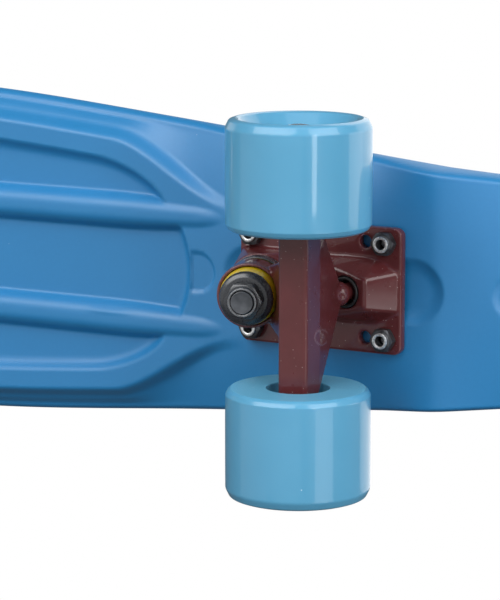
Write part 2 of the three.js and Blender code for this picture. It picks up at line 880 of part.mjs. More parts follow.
function buildKingpin() {
  const head = hexRod(
    2 * kingpinHeadRadius * Math.cos(Math.PI / hexFacets),
    kingpinHeadStation,
    kingpinHeadStation + kingpinHeadHeight,
  );
  const shank = rod(kingpinRadius, kingpinHeadStation, kingpinEnd, smallFacets);
  return onKingpin(shaped(head, { joins: [shank] }));
}

function buildBushing(from, height, footRadius, topRadius) {
  const top = from + height;
  return onKingpin(
    turnedUp(
      [
        [bushingBore, from],
        [footRadius - bushingChamfer, from],
        [footRadius, from + bushingChamfer],
        [topRadius, top - bushingChamfer],
        [topRadius - bushingChamfer, top],
        [bushingBore, top],
      ],
      roundFacets,
    ),
  );
}

function buildInnerWasher() {
  return onKingpin(
    turnedUp(
      [
        [bushingBore, bossStation],
        [washerRadius, bossStation],
        [washerRadius, washerSeat + washerCupHeight],
        [washerRadius - washerCupWall, washerSeat + washerCupHeight],
        [washerRadius - washerCupWall, washerSeat],
        [bushingBore, washerSeat],
      ],
      roundFacets,
    ),
  );
}

function buildOuterWasher() {
  const skirt = outerWasherStation - outerWasherSkirt;
  const inside = outerWasherRadius - washerCupWall;
  return onKingpin(
    turnedUp(
      [
        [bushingBore, outerWasherStation],
        [inside, outerWasherStation],
        [inside, skirt],
        [outerWasherRadius, skirt],
        [outerWasherRadius, outerWasherStation],
        [outerWasherFlat, kingpinNutStation],
        [bushingBore, kingpinNutStation],
      ],
      roundFacets,
    ),
  );
}

function buildAxle() {
  const rest = -truckHeight;
  const washerTo = hangerHalfLength + speedWasherThickness;
  const spacerFrom = bearingInnerFace + bearingWidth + faceGap;
  const spacerTo = spacerFrom + bearingSpacer - 2 * faceGap;
  const half = [
    [speedWasherRadius, hangerHalfLength],
    [speedWasherRadius, washerTo],
    [axleRadius, washerTo],
    [axleRadius, spacerFrom],
    [spacerRadius, spacerFrom],
    [spacerRadius, spacerTo],
    [axleRadius, spacerTo],
    [axleRadius, axleHalfLength],
    [0, axleHalfLength],
  ];
  const other = half.map(([r, y]) => [r, -y]).reverse();
  const profile = [...other, [axleRadius, -hangerHalfLength], [axleRadius, hangerHalfLength], ...half];
  return turned(profile, smallFacets).translate(0, 0, rest);
}

function buildMountBolt(out, y) {
  const top = deckThickness - boltHeadSink;
  const end = -plateThickness - mountNutHeight - mountNutCollar + boltEndSink;
  return turnedUp(
    [
      [0, end],
      [boltRadius, end],
      [boltRadius, top - boltHeadHeight],
      [boltHeadRadius, top - boltHeadSink],
      [boltHeadRadius, top],
      [0, top],
    ],
    smallFacets,
  ).translate(out, y, 0);
}

function buildTruck(prefix, axleX, turn, root) {
  const truck = new THREE.Group();
  truck.position.set(axleX, 0, padHeight);
  truck.rotation.z = turn;
  root.add(truck);
  named(prefix + "baseplate", buildBaseplate(), truckPaint, truck);
  named(prefix + "pivot_cup", buildPivotCup(), cupPlastic, truck);
  named(prefix + "kingpin", buildKingpin(), blackSteel, truck);
  named(prefix + "board_side_washer", buildInnerWasher(), blackSteel, truck);
  named(
    prefix + "board_side_bushing",
    buildBushing(washerSeat, innerBushingHeight, bushingRadius, bushingRadius),
    bushingUrethane,
    truck,
  );
  named(prefix + "hanger", buildHanger(), truckPaint, truck);
  named(
    prefix + "road_side_bushing",
    buildBushing(outerBushingStation, outerBushingHeight, bushingRadius, bushingTopRadius),
    bushingUrethane,
    truck,
  );
  named(prefix + "road_side_washer", buildOuterWasher(), blackSteel, truck);
  const kingpinNut = lockNut(
    kingpinNutFlats,
    kingpinNutHeight,
    kingpinNutCollar,
    kingpinNutCollarRadius,
    kingpinRadius + seatGap,
  ).translate(0, 0, kingpinNutStation);
  named(prefix + "kingpin_nut", onKingpin(kingpinNut), blackSteel, truck);
  named(prefix + "axle", buildAxle(), plainSteel, truck);

  // the rear truck is turned about, so its own +Y side is the board's right
  const sideNames = turn === 0 ? ["left", "right"] : ["right", "left"];
  boltPlaces().forEach(([out, y]) => {
    const corner = (out > 0 ? "outer_" : "inner_") + sideNames[y > 0 ? 0 : 1];
    named(prefix + "mount_bolt_" + corner, buildMountBolt(out, y), plainSteel, truck);
    const nut = lockNut(
      mountNutFlats,
      mountNutHeight,
      mountNutCollar,
      mountNutCollarRadius,
      boltRadius + boltGap,
    ).rotateX(Math.PI);
    named(prefix + "mount_nut_" + corner, nut.translate(out, y, -plateThickness), plainSteel, truck);
  });

  buildWheelSet(prefix + sideNames[0] + "_", 1, truck);
  buildWheelSet(prefix + sideNames[1] + "_", -1, truck);
}

// Wheel set: built along +Y from the wheel's middle, its outer face towards +Y.

function buildWheel() {
  const half = wheelWidth / 2;
  const bearingFace = bearingSpacer / 2 + bearingWidth;
  const seat = (bearingRadius + seatGap) / Math.cos(Math.PI / wheelFacets);
  const lip = [];
  for (let i = 0; i <= lipSteps; i += 1) {
    const angle = (i / lipSteps) * (Math.PI / 2);
    const r = wheelCrestRadius + (wheelRadius - wheelCrestRadius) * Math.cos(angle);
    lip.push([r, half - wheelLip + wheelLip * Math.sin(angle)]);
  }
  const profile = [
    [wheelRecessRadius, -half],
    [wheelFlatRadius, -half],
    [wheelRadius, wheelChamfer - half],
    ...lip,
    [wheelDishRadius, bearingFace + faceGap],
    [seat, bearingFace],
    [seat, bearingSpacer / 2],
    [wheelShoulderRadius, bearingSpacer / 2],
    [wheelShoulderRadius, -bearingSpacer / 2],
    [seat, -bearingSpacer / 2],
    [seat, -bearingFace],
    [wheelRecessRadius, -bearingFace],
  ];
  return turned(profile, wheelFacets, Math.PI / wheelFacets);
}

// The shield's groove shows on one face only, the one that faces out of the wheel.
function buildBearing(middle) {
  const outward = Math.sign(middle);
  const half = bearingWidth / 2;
  const bore = axleRadius + faceGap;
  const shield = half - bearingShieldDepth;
  const end = [
    [bearingRadius, half],
    [bearingLand, half],
    [bearingLand, shield],
    [bearingInnerLand, shield],
    [bearingInnerLand, half],
    [bore, half],
  ];
  const profile = [...end, [bore, -half], [bearingRadius, -half]].map(([r, y]) => [r, outward * y]);
  return turned(profile, bearingFacets).translate(0, middle, 0);
}

function buildSpeedWasher(from) {
  const bore = axleRadius + seatGap;
  return turned(
    [
      [bore, from],
      [speedWasherRadius, from],
      [speedWasherRadius, from + speedWasherThickness],
      [bore, from + speedWasherThickness],
    ],
    smallFacets,
  );
}

function buildWheelSet(prefix, side, truck) {
  const set = new THREE.Group();
  set.position.set(0, 0, -truckHeight);
  set.rotation.z = side > 0 ? 0 : Math.PI;
  truck.add(set);
  const wheel = new THREE.Group();
  wheel.position.set(0, bearingInnerFace + bearingWidth + bearingSpacer / 2, 0);
  set.add(wheel);
  const bearingMiddle = (bearingSpacer + bearingWidth) / 2;
  named(prefix + "wheel", buildWheel(), wheelUrethane, wheel);
  named(prefix + "bearing_inner", buildBearing(-bearingMiddle), plainSteel, wheel);
  named(prefix + "bearing_outer", buildBearing(bearingMiddle), plainSteel, wheel);
  const washerFrom = axleNutFace - speedWasherThickness;
  named(prefix + "speed_washer", buildSpeedWasher(washerFrom), plainSteel, set);
  const axleNut = lockNut(
    axleNutFlats,
    axleNutHeight,
    axleNutCollar,
    axleNutCollarRadius,
    axleRadius + seatGap,
  ).rotateX(-Math.PI / 2);
  named(prefix + "axle_nut", axleNut.translate(0, axleNutFace, 0), plainSteel, set);
}

const board = new THREE.Group();
named("deck", buildDeck(), deckPlastic, board);
buildTruck("front_", frontAxleX, 0, board);
buildTruck("rear_", rearAxleX, Math.PI, board);

export default board;
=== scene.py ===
import math

import bmesh
import bpy
import numpy as np
from mathutils import Matrix, Vector


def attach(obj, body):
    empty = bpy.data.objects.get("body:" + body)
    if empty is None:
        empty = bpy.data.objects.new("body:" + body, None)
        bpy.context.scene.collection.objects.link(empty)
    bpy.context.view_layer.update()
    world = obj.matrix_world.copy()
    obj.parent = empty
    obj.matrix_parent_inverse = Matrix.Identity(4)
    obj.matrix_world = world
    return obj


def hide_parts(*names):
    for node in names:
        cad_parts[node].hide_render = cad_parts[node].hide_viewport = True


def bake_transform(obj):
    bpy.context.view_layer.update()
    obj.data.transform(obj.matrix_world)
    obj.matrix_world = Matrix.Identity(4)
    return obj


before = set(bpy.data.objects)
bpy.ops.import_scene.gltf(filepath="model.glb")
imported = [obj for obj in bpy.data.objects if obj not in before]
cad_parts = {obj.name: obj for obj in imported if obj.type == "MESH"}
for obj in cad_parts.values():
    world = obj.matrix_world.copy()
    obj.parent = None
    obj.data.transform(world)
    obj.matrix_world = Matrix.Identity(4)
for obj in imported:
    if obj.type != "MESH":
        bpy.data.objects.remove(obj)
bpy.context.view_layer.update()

# A moulded plastic cruiser board, seen from below around its rear truck.
# Lengths are in millimetres here, and scaled to metres where a mesh is made.

mm = 0.001
mergeGap = 0.002

board = {
    "length": 560,
    "halfWidth": 76.5,
    "rearAxleX": -157,
    "frontAxleX": 181,
    "truckHeight": 58.2,
    "wheelRadius": 30,
    "wheelFlats": 26,  # the solids' wheels stand on a flat
}
axleZ = board["wheelRadius"] * math.cos(math.pi / board["wheelFlats"])
padZ = axleZ + board["truckHeight"]
rearX, frontX = board["rearAxleX"], board["frontAxleX"]
middleX = (rearX + frontX) / 2
ends = ((rearX, -1), (frontX, 1))  # an axle's place, and the way outward from it
tailX = -board["length"] / 2
noseX = board["length"] / 2


# Meshes

def unit(t):
    return np.clip(t, 0, 1)


def smoothstep(t):
    t = unit(t)
    return t * t * (3 - 2 * t)


# Rises from 0 to 1 over a length, from a start.
def fade(value, start, length):
    return smoothstep((value - start) / length)


def makeMesh(name, vertices, faces, matrix=None, sharpAngle=40):
    mesh = bpy.data.meshes.new(name)
    points = [Vector(v) for v in vertices]
    if matrix is not None:
        points = [matrix @ p for p in points]
    mesh.from_pydata([tuple(p * mm) for p in points], [], faces)
    finishMesh(mesh, sharpAngle)
    return mesh


def shadeSmooth(mesh):
    mesh.polygons.foreach_set("use_smooth", [True] * len(mesh.polygons))


def finishMesh(mesh, sharpAngle=40):
    bm = bmesh.new()
    bm.from_mesh(mesh)
    bmesh.ops.remove_doubles(bm, verts=bm.verts, dist=mergeGap * mm)
    bmesh.ops.dissolve_degenerate(bm, edges=bm.edges, dist=mergeGap / 2 * mm)
    bmesh.ops.recalc_face_normals(bm, faces=bm.faces)
    bm.to_mesh(mesh)
    bm.free()
    shadeSmooth(mesh)
    mesh.set_sharp_from_angle(angle=math.radians(sharpAngle))
    mesh.update()


def addObject(name, data):
    thing = bpy.data.objects.new(name, data)
    bpy.context.scene.collection.objects.link(thing)
    return thing


# A finish is a material and its slot.
def makePiece(name, mesh, finish, body, replaced):
    material, slot = finish
    piece = addObject(name, mesh)
    mesh.materials.clear()
    mesh.materials.append(material)
    if body:
        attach(piece, body)
    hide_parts(*replaced)
    return piece


# A profile of (radius, height) or (radius, height, fillet) points. Each fillet becomes a short arc.
def rounded(profile, steps=4):
    points = []
    for i, corner in enumerate(profile):
        fillet = corner[2] if len(corner) > 2 else 0
        here = Vector(corner[:2])
        before = Vector(profile[i - 1][:2]) - here
        after = Vector(profile[(i + 1) % len(profile)][:2]) - here
        turn = before.angle(after, 0)
        if fillet <= 0 or turn < 0.01 or abs(turn - math.pi) < 0.01:
            points.append(tuple(here))
            continue
        reach = min(fillet / math.tan(turn / 2), before.length * 0.49, after.length * 0.49)
        start = here + before.normalized() * reach
        end = here + after.normalized() * reach
        for k in range(steps + 1):
            t = k / steps
            points.append(tuple(start * (1 - t) ** 2 + here * 2 * t * (1 - t) + end * t * t))
    return points


# Faces between neighbouring rings of points, and between the last ring and the first.
def ringFaces(rings, count, leftOut=()):
    faces = []
    for i in range(rings):
        j = (i + 1) % rings
        for k in range(count):
            n = (k + 1) % count
            if k not in leftOut:
                faces.append((i * count + k, j * count + k, j * count + n, i * count + n))
    return faces


# Directions evenly round a circle.
def circle(count):
    return [(math.cos(a), math.sin(a)) for a in (2 * math.pi * i / count for i in range(count))]


# Turns a closed profile about +Z. Points on the axis close into poles.
def turned(profile, segments):
    count = len(profile)
    vertices = [(r * cx, r * cy, z) for cx, cy in circle(segments) for r, z in profile]
    poles = [k for k in range(count) if profile[k][0] == 0 and profile[(k + 1) % count][0] == 0]
    return vertices, ringFaces(segments, count, poles)


def hullOf(points):
    bm = bmesh.new()
    for p in points:
        bm.verts.new(p)
    bmesh.ops.convex_hull(bm, input=bm.verts)
    vertices = [tuple(v.co) for v in bm.verts]
    bm.verts.index_update()
    faces = [[v.index for v in f.verts] for f in bm.faces]
    bm.free()
    return vertices, faces


# The hull of balls at the points, so that its edges are round.
def softHull(centres, radius, rings=6, turns=12):
    points = []
    for x, y, z in centres:
        for i in range(rings + 1):
            lift = math.pi * (i / rings - 0.5)
            across = radius * math.cos(lift)
            up = z + radius * math.sin(lift)
            points += [(x + across * cx, y + across * cy, up) for cx, cy in circle(turns)]
    return hullOf(points)


def prismOf(outline, z0, z1):
    count = len(outline)
    vertices = [(x, y, z0) for x, y in outline] + [(x, y, z1) for x, y in outline]
    faces = [tuple(reversed(range(count))), tuple(range(count, 2 * count))]
    for i in range(count):
        j = (i + 1) % count
        faces.append((i, j, count + j, count + i))
    return vertices, faces


def plateOutline(x0, x1, half, corner, steps=8):
    outline = []
    for cx, cy, first in (
        (x1 - corner, half - corner, 0),
        (x0 + corner, half - corner, 90),
        (x0 + corner, corner - half, 180),
        (x1 - corner, corner - half, 270),
    ):
        for k in range(steps + 1):
            angle = math.radians(first + 90 * k / steps)
            outline.append((cx + corner * math.cos(angle), cy + corner * math.sin(angle)))
    return outline


def scratchObject(shape, matrix=None):
    return addObject("scratch", makeMesh("scratch", *shape, matrix))


def appliedMesh(thing):
    bpy.context.view_layer.update()
    graph = bpy.context.evaluated_depsgraph_get()
    return bpy.data.meshes.new_from_object(thing.evaluated_get(graph))


def dropObject(thing):
    mesh = thing.data
    bpy.data.objects.remove(thing)
    bpy.data.meshes.remove(mesh)


# Joins and cuts closed shapes; each is (shape, matrix). Gives a plain mesh.
def combined(first, joins=(), cuts=()):
    base = scratchObject(*first)
    helpers = []
    for operation, pieces in (("UNION", joins), ("DIFFERENCE", cuts)):
        for shape, matrix in pieces:
            helper = scratchObject(shape, matrix)
            helpers.append(helper)
            step = base.modifiers.new("step", "BOOLEAN")
            step.object = helper
            step.operation = operation
            step.solver = "MANIFOLD"
    mesh = appliedMesh(base)
    for thing in [base, *helpers]:
        dropObject(thing)
    return mesh


# Softens a cast shape: an even skin of small faces, then a light smoothing that rounds the edges.
def castSkin(mesh, voxel, passes):
    thing = addObject("scratch", mesh)
    skin = thing.modifiers.new("skin", "REMESH")
    skin.mode = "VOXEL"
    skin.voxel_size = voxel * mm
    skin.use_smooth_shade = True
    soften = thing.modifiers.new("soften", "SMOOTH")
    soften.factor = 0.5
    soften.iterations = passes
    result = appliedMesh(thing)
    dropObject(thing)
    shadeSmooth(result)
    result.update()
    return result


# Materials and node trees

# Adds a node. An input given as a socket is linked, and any other is set.
def wired(tree, kind, inputs=None, **settings):
    node = tree.nodes.new(kind)
    for key, value in settings.items():
        setattr(node, key, value)
    for key, value in (inputs or {}).items():
        socket = node.inputs[key]
        if isinstance(value, bpy.types.NodeSocket):
            tree.links.new(value, socket)
        elif socket.type == "RGBA":
            socket.default_value = (*value, 1)
        else:
            socket.default_value = value
    return node


def mathNode(tree, operation, *values, **settings):
    return wired(tree, "ShaderNodeMath", dict(enumerate(values)), operation=operation, **settings).outputs[0]


def newMaterial(name, values):
    material = bpy.data.materials.new(name)
    material.use_nodes = True
    shader = material.node_tree.nodes["Principled BSDF"]
    for key, value in values.items():
        shader.inputs[key].default_value = value
    return material, material.node_tree


# Noise on object coordinates; size is the grain's width in millimetres.
def grain(tree, size, detail, stretch=(1, 1, 1)):
    place = wired(tree, "ShaderNodeTexCoord").outputs["Object"]
    turn = wired(tree, "ShaderNodeMapping", {"Vector": place, "Scale": stretch}).outputs["Vector"]
    inputs = {"Vector": turn, "Scale": 1 / (size * mm), "Detail": detail}
    return wired(tree, "ShaderNodeTexNoise", inputs).outputs["Fac"]


def mapRange(tree, value, low, high, fromLow=0, fromHigh=1):
    inputs = {"Value": value, "From Min": fromLow, "From Max": fromHigh, "To Min": low, "To Max": high}
    return wired(tree, "ShaderNodeMapRange", inputs).outputs["Result"]


def mixColor(tree, factor, first, second):
    return wired(tree, "ShaderNodeMix", {0: factor, 6: first, 7: second}, data_type="RGBA").outputs[2]


def meshValue(tree, name):
    return wired(tree, "ShaderNodeAttribute", attribute_name=name).outputs["Fac"]


def specks(tree, spacing, share):
    place = wired(tree, "ShaderNodeTexCoord").outputs["Object"]
    cells = wired(tree, "ShaderNodeTexVoronoi", {"Vector": place, "Scale": 1 / (spacing * mm)})
    return mapRange(tree, cells.outputs["Distance"], 1, 0, share * 0.6, share)


# A look's deeper and lighter colour, mixed by a grain.
def mottled(tree, look, size, detail, low=0.3):
    node = wired(tree, "ShaderNodeValToRGB", {"Fac": grain(tree, size, detail)})
    for element, place, key in zip(node.color_ramp.elements, (low, 1 - low), ("deeper", "lighter")):
        element.position = place
        element.color = (*look[key], 1)
    return node.outputs["Color"]


# Links the colour, a roughness of (low, high, grain) and bump layers of (depth, grain or socket).
def dress(material, color, roughness, *layers):
    tree = material.node_tree
    normal = None
    for depth, *height in layers:
        source = grain(tree, *height) if len(height) > 1 else height[0]
        inputs = {"Strength": 1, "Distance": depth * mm, "Height": source}
        if normal is not None:
            inputs["Normal"] = normal
        normal = wired(tree, "ShaderNodeBump", inputs).outputs["Normal"]
    low, high, *rough = roughness
    shader = tree.nodes["Principled BSDF"]
    tree.links.new(color, shader.inputs["Base Color"])
    tree.links.new(mapRange(tree, grain(tree, *rough), low, high), shader.inputs["Roughness"])
    tree.links.new(normal, shader.inputs["Normal"])
    return material


def deckMaterial():
    look = {"deeper": (0.007, 0.182, 0.434), "lighter": (0.010, 0.205, 0.478), "dust": (0.30, 0.45, 0.62)}
    material, tree = newMaterial("deck_plastic", {"Specular IOR Level": 0.9})
    color = mixColor(tree, 0.35, mottled(tree, look, 90, 2), mottled(tree, look, 1.6, 2, 0.25))
    color = mixColor(tree, specks(tree, 14, 0.016), color, look["dust"])
    return dress(material, color, (0.4, 0.54, 22, 4), (0.012, 0.9, 2), (0.02, 7, 2))


def wheelMaterial():
    look = {
        "deeper": (0.088, 0.324, 0.515),
        "lighter": (0.100, 0.344, 0.541),
        "dust": (0.45, 0.62, 0.74),
        "cut": (0.13, 0.42, 0.62),
        "turnsPerMillimetre": 0.9,
    }
    material, tree = newMaterial("wheel_urethane", {
        "Specular IOR Level": 0.35,
        "Coat Weight": 0.55,
        "Coat Roughness": 0.05,
        "Subsurface Weight": 0.08,
        "Subsurface Radius": (0.4, 0.8, 1.0),
        "Subsurface Scale": 0.004,
    })
    color = mixColor(tree, specks(tree, 11, 0.03), mottled(tree, look, 40, 2, 0.35), look["dust"])
    cut = meshValue(tree, "latheCut")
    around = look["turnsPerMillimetre"] * 2 * math.pi
    turns = mathNode(tree, "MULTIPLY", meshValue(tree, "latheRadius"), around)
    grooves = mathNode(tree, "MULTIPLY", mathNode(tree, "SINE", turns), cut)
    color = mixColor(tree, mapRange(tree, cut, 0, 0.75), color, look["cut"])
    coat = tree.nodes["Principled BSDF"].inputs["Coat Weight"]
    tree.links.new(mapRange(tree, cut, 0.55, 0.05), coat)
    return dress(material, color, (0.24, 0.38, 12, 3), (0.03, 9, 1), (0.004, 0.7, 2), (0.02, grooves))


def truckMaterial():
    look = {
        "deeper": (0.086, 0.0175, 0.0190),
        "lighter": (0.106, 0.0215, 0.0235),
        # the edge colour is a painted highlight
        "edge": (0.34, 0.20, 0.25),
        "dust": (0.40, 0.28, 0.27),
        "mark": (0.30, 0.20, 0.22),
    }
    sockets = {"Coat Weight": 0.6, "Coat Roughness": 0.05, "Specular IOR Level": 0.25}
    material, tree = newMaterial("truck_paint", sockets)
    # a lilac tint on the sharper edges, found by pointiness: a painted highlight standing in for the edges'
    # reflections
    edge = wired(tree, "ShaderNodeNewGeometry").outputs["Pointiness"]
    paintedEdgeHighlight = mapRange(tree, edge, 0, 0.6, 0.525, 0.59)
    color = mixColor(tree, paintedEdgeHighlight, mottled(tree, look, 14, 3), look["edge"])
    color = mixColor(tree, specks(tree, 2.4, 0.09), color, look["dust"])
    mark = meshValue(tree, "marksAndHighlights")
    color = mixColor(tree, mapRange(tree, mark, 0, 0.3), color, look["mark"])
    return dress(material, color, (0.22, 0.38, 6, 3), (0.09, 5.5, 1), (0.008, 0.8, 2), (0.15, mark))


def bushingMaterial():
    look = {"deeper": (0.74, 0.50, 0.006), "lighter": (0.86, 0.62, 0.010)}
    sockets = {"Subsurface Weight": 0.25, "Subsurface Radius": (1.0, 0.7, 0.1), "Subsurface Scale": 0.003}
    material, tree = newMaterial("bushing_urethane", sockets)
    return dress(material, mottled(tree, look, 9, 2), (0.25, 0.42, 3, 3), (0.02, 2.5, 2))


# A mesh attribute is 1 on the nuts' collar rings, and this mixes them towards a bright colour: a painted
# highlight, and on the mount nuts also their pale ring.
def steelMaterial(name, look):
    material, tree = newMaterial(name, {"Metallic": look["metallic"], "Specular IOR Level": 0.9})
    patchy = mapRange(tree, grain(tree, 0.9, 3), 0.35, 1.2, 0.3, 0.7)
    ringHighlight = mathNode(tree, "MULTIPLY", meshValue(tree, "marksAndHighlights"), patchy, use_clamp=True)
    color = mixColor(tree, ringHighlight, mottled(tree, look, 3, 4), look["ringHighlight"])
    low, high = look["roughness"]
    return dress(material, color, (low, high, 1.3, 4, (1, 1, 3)), (0.004, 0.5, 3, (1, 1, 4)), (0.009, 4, 2))


def cupMaterial():
    look = {"deeper": (0.006, 0.006, 0.007), "lighter": (0.014, 0.014, 0.015)}
    material, tree = newMaterial("cup_plastic", {})
    return dress(material, mottled(tree, look, 2, 3), (0.4, 0.6, 1, 2), (0.01, 0.6, 2))


# Each look's bright ring colour is what the marked collar rings get: a painted highlight.
steelLooks = {
    "black_steel": {
        "deeper": (0.021, 0.024, 0.029),
        "lighter": (0.035, 0.039, 0.047),
        "ringHighlight": (0.26, 0.27, 0.28),
        "roughness": (0.21, 0.35),
        "metallic": 0.05,
    },
    "pin_steel": {
        "deeper": (0.032, 0.037, 0.044),
        "lighter": (0.086, 0.094, 0.108),
        "ringHighlight": (0.26, 0.27, 0.28),
        "roughness": (0.30, 0.46),
        "metallic": 0.2,
    },
    "plain_steel": {
        "deeper": (0.30, 0.31, 0.32),
        "lighter": (0.48, 0.49, 0.50),
        "ringHighlight": (0.6, 0.6, 0.6),
        "roughness": (0.2, 0.38),
        "metallic": 1.0,
    },
    "nut_steel": {
        "deeper": (0.035, 0.038, 0.044),
        "lighter": (0.12, 0.125, 0.135),
        "ringHighlight": (0.86, 0.87, 0.87),
        "roughness": (0.22, 0.42),
        "metallic": 0.7,
    },
}

deckPlastic = (deckMaterial(), "deck_plastic")
wheelUrethane = (wheelMaterial(), "wheel_urethane")
truckPaint = (truckMaterial(), "truck_paint")
bushingUrethane = (bushingMaterial(), "bushing_urethane")
black, pin, plain, bright = [steelMaterial(name, look) for name, look in steelLooks.items()]
blackSteel = (black, "black_steel")
pinSteel = (pin, "black_steel")
plainSteel = (plain, "plain_steel")
nutSteel = (bright, "plain_steel")
cupPlastic = (cupMaterial(), "cup_plastic")
print("materials done")


# Deck

deckSizes = {
    "thickness": 12.5,
    "edgeHeight": 15.5,
    "edgeSink": 3,
    "edgeSinkStart": 60,
    "edgeSinkLength": 150,
    "edgeRise": 19.5,
    "lipInset": 3.2,
    "lipStart": 10.5,
    "endLipInset": 2.8,
    "rollDrop": 6,
    "tailBow": 4,
    "bowStart": 30,
    "bowLength": 36,
    "flange": 6.5,
    "flangeSlope": 5,
    "padHalf": 28.5,
    "railInset": 11.5,
    "railStart": 58,
    "railLength": 67,
    "padReach": 100,
    "padSpread": 46,
    "padFade": 34,
    "kickStart": 31.5,
    "kickRadius": 32,
    "kickAngle": math.radians(12),
    "tailRadius": 600,
    "noseStart": 36,
    "noseRadius": 120,
    "noseAngle": math.radians(11),
    "tailRound": 44,
    "noseRound": 118,
    "tailPower": 2.7,
    "nosePower": 2.15,
    "channelDepth": 4,
    "channelWall": 5.6,
    "channelInset": 20.5,
    "channelStart": 96,
    "channelSweep": 40,
    "centreStart": 84,
    "centreBow": 44,
    "ribCentre": 24.5,
    "ribRadius": 8.1,
    "ribHeight": 6,
    "ribStart": 62,
    "ribTip": 21,
    "ribFadeStart": 125,
    "ribFadeLength": 55,
    "ribTaper": 0.22,
    "ribSink": 0.9,
    "ribBlend": 1.2,
    "flowX": -31,
    "flowY": -21.3,
    "flowLength": 13,
    "flowHalf": 1.3,
    "flowHeight": 0.4,
    "dDepth": 1.0,
    "dRadius": 9.2,
    "dLength": 12.3,
    "dWall": -0.2,
    "dEdge": 1.0,
    "pillDepth": 2.5,
    "pillHalf": 14.6,
    "pillInner": 68,
    "pillOuter": 38.6,
    "pillWall": 8,
    "dimpleX": -225.5,
    "dimpleRadius": 10,
    "dimpleDepth": 1.3,
    "dimpleWall": 2.5,
    "straightHalf": 34,  # the rings run straight along the board up to here
    "evenHalf": 14,  # and lie a millimetre apart up to here
    "topRound": 0.6,
    "dishFlat": 0.2,
    "dishPower": 2.3,
    "holeReach": 6,
}
boltSizes = {
    "outer": 13.3,  # outward of the axle
    "long": 63.5,
    "wide": 41.3,
    "rowStep": 9.5,  # to the free holes
    "hole": 2.75,
    "radius": 2.05,
    "head": 4.5,
    "headHeight": 2.6,
    "sink": 0.6,
    "pitch": 0.8,
    "thread": 0.25,
    "past": 5,  # past the nut's collar
    "seatGap": 0.35,
    "slotHalf": (2.3, 0.45),
    "slotTip": (0.8, 0.3),
    "slotDepth": 1.9,
}
nutSizes = {"flats": 9.5, "height": 4, "collar": 1.4, "collarRadius": 3.6, "bore": 2.15}

# Half width along the board, as shares of its half length and half width.
sideShares = [
    (-1, 0.57), (-0.75, 0.66), (-0.57, 0.726), (-0.21, 0.863),
    (0.13, 0.976), (0.38, 1), (0.64, 0.965), (1, 0.8),
]

# Where each band of stations along the board ends, and its step.
stationBands = [
    (-196, 1.1), (-176, 0.8), (-112, 1.6), (-88, 1.1), (-66, 0.65), (34, 1.4), (90, 1.7), (112, 1.1),
]


def sideAt(x):
    places = np.array([row[0] for row in sideShares])
    values = np.array([row[1] for row in sideShares])
    slopes = np.empty(len(places))
    slopes[1:-1] = (values[2:] - values[:-2]) / (places[2:] - places[:-2])
    slopes[0] = (values[1] - values[0]) / (places[1] - places[0])
    slopes[-1] = (values[-1] - values[-2]) / (places[-1] - places[-2])
    share = 2 * np.asarray(x, float) / board["length"]
    i = np.clip(np.searchsorted(places, share, side="left") - 1, 0, len(places) - 2)
    span = places[i + 1] - places[i]
    t = unit((share - places[i]) / span)
    start = values[i] * (1 + 2 * t) * (1 - t) ** 2 + slopes[i] * span * t * (1 - t) ** 2
    end = values[i + 1] * t * t * (3 - 2 * t) - slopes[i + 1] * span * t * t * (1 - t)
    return board["halfWidth"] * (start + end)


def bendRise(distance, radius, angle):
    d = np.maximum(distance, 0)
    arc = radius * math.sin(angle)
    inside = radius - np.sqrt(np.maximum(radius * radius - np.minimum(d, arc) ** 2, 0))
    return np.where(d < arc, inside, radius * (1 - math.cos(angle)) + (d - arc) * math.tan(angle))


def riseAt(x):
    s = deckSizes
    back = rearX - s["kickStart"] - x
    beyond = np.maximum(back - s["kickRadius"] * math.sin(s["kickAngle"]), 0)
    tail = bendRise(back, s["kickRadius"], s["kickAngle"]) + beyond**2 / (2 * s["tailRadius"])
    return tail + bendRise(x - frontX - s["noseStart"], s["noseRadius"], s["noseAngle"])


def inboardOf(x):
    return np.where(x < middleX, x - rearX, frontX - x)


def crestAt(x, half):
    s = deckSizes
    spread = fade(inboardOf(x), s["railStart"], s["railLength"])
    return s["padHalf"] + spread * (half - s["railInset"] - s["padHalf"])


def insetAt(x):
    s = deckSizes
    return s["endLipInset"] + (s["lipInset"] - s["endLipInset"]) * flangeShare(x)


def flangeShare(x):
    s = deckSizes
    tail = (x - (rearX - s["kickStart"])) / s["padFade"]
    nose = (frontX + s["noseStart"] - x) / s["padFade"]
    return smoothstep(np.minimum(tail, nose))


# Signed distance from points to a closed outline, positive inside.
def insideDistance(px, py, outline):
    points = np.array(outline)
    nearest = np.full(px.shape, 1e9)
    inside = np.zeros(px.shape, bool)
    for (ax, ay), (bx, by) in zip(points, np.roll(points, -1, axis=0)):
        ex, ey = bx - ax, by - ay
        t = unit(((px - ax) * ex + (py - ay) * ey) / max(ex * ex + ey * ey, 1e-9))
        nearest = np.minimum(nearest, np.hypot(px - ax - t * ex, py - ay - t * ey))
        crosses = (ay > py) != (by > py)
        at = ax + (py - ay) * ex / (ey if ey else 1e-9)
        inside ^= crosses & (px < at)
    return np.where(inside, nearest, -nearest)


def channelOutline(side, steps=70):
    s = deckSizes
    start = rearX + s["channelStart"]
    end = frontX - s["channelStart"]
    t = np.arange(steps + 1) / steps
    x = start + (end - start) * (1 - np.cos(math.pi * t)) / 2
    left = unit((inboardOf(x) - s["channelStart"]) / s["channelSweep"])
    bow = np.sqrt(1 - (1 - left) ** 2)
    y = s["ribCentre"] + bow * (sideAt(x) - s["channelInset"] - s["ribCentre"])
    return list(zip(x, side * y))


# A wall that drops sharply at a recess's edge and runs out into its floor.
def drop(distance, width):
    t = unit(distance / width)
    eased = 1.12 * t * t / (t + 0.12)
    return 1 - (1 - eased) ** 2.2


def softMin(a, b, blend):
    share = unit(0.5 + 0.5 * (b - a) / blend)
    return b * (1 - share) + a * share - blend * share * (1 - share)


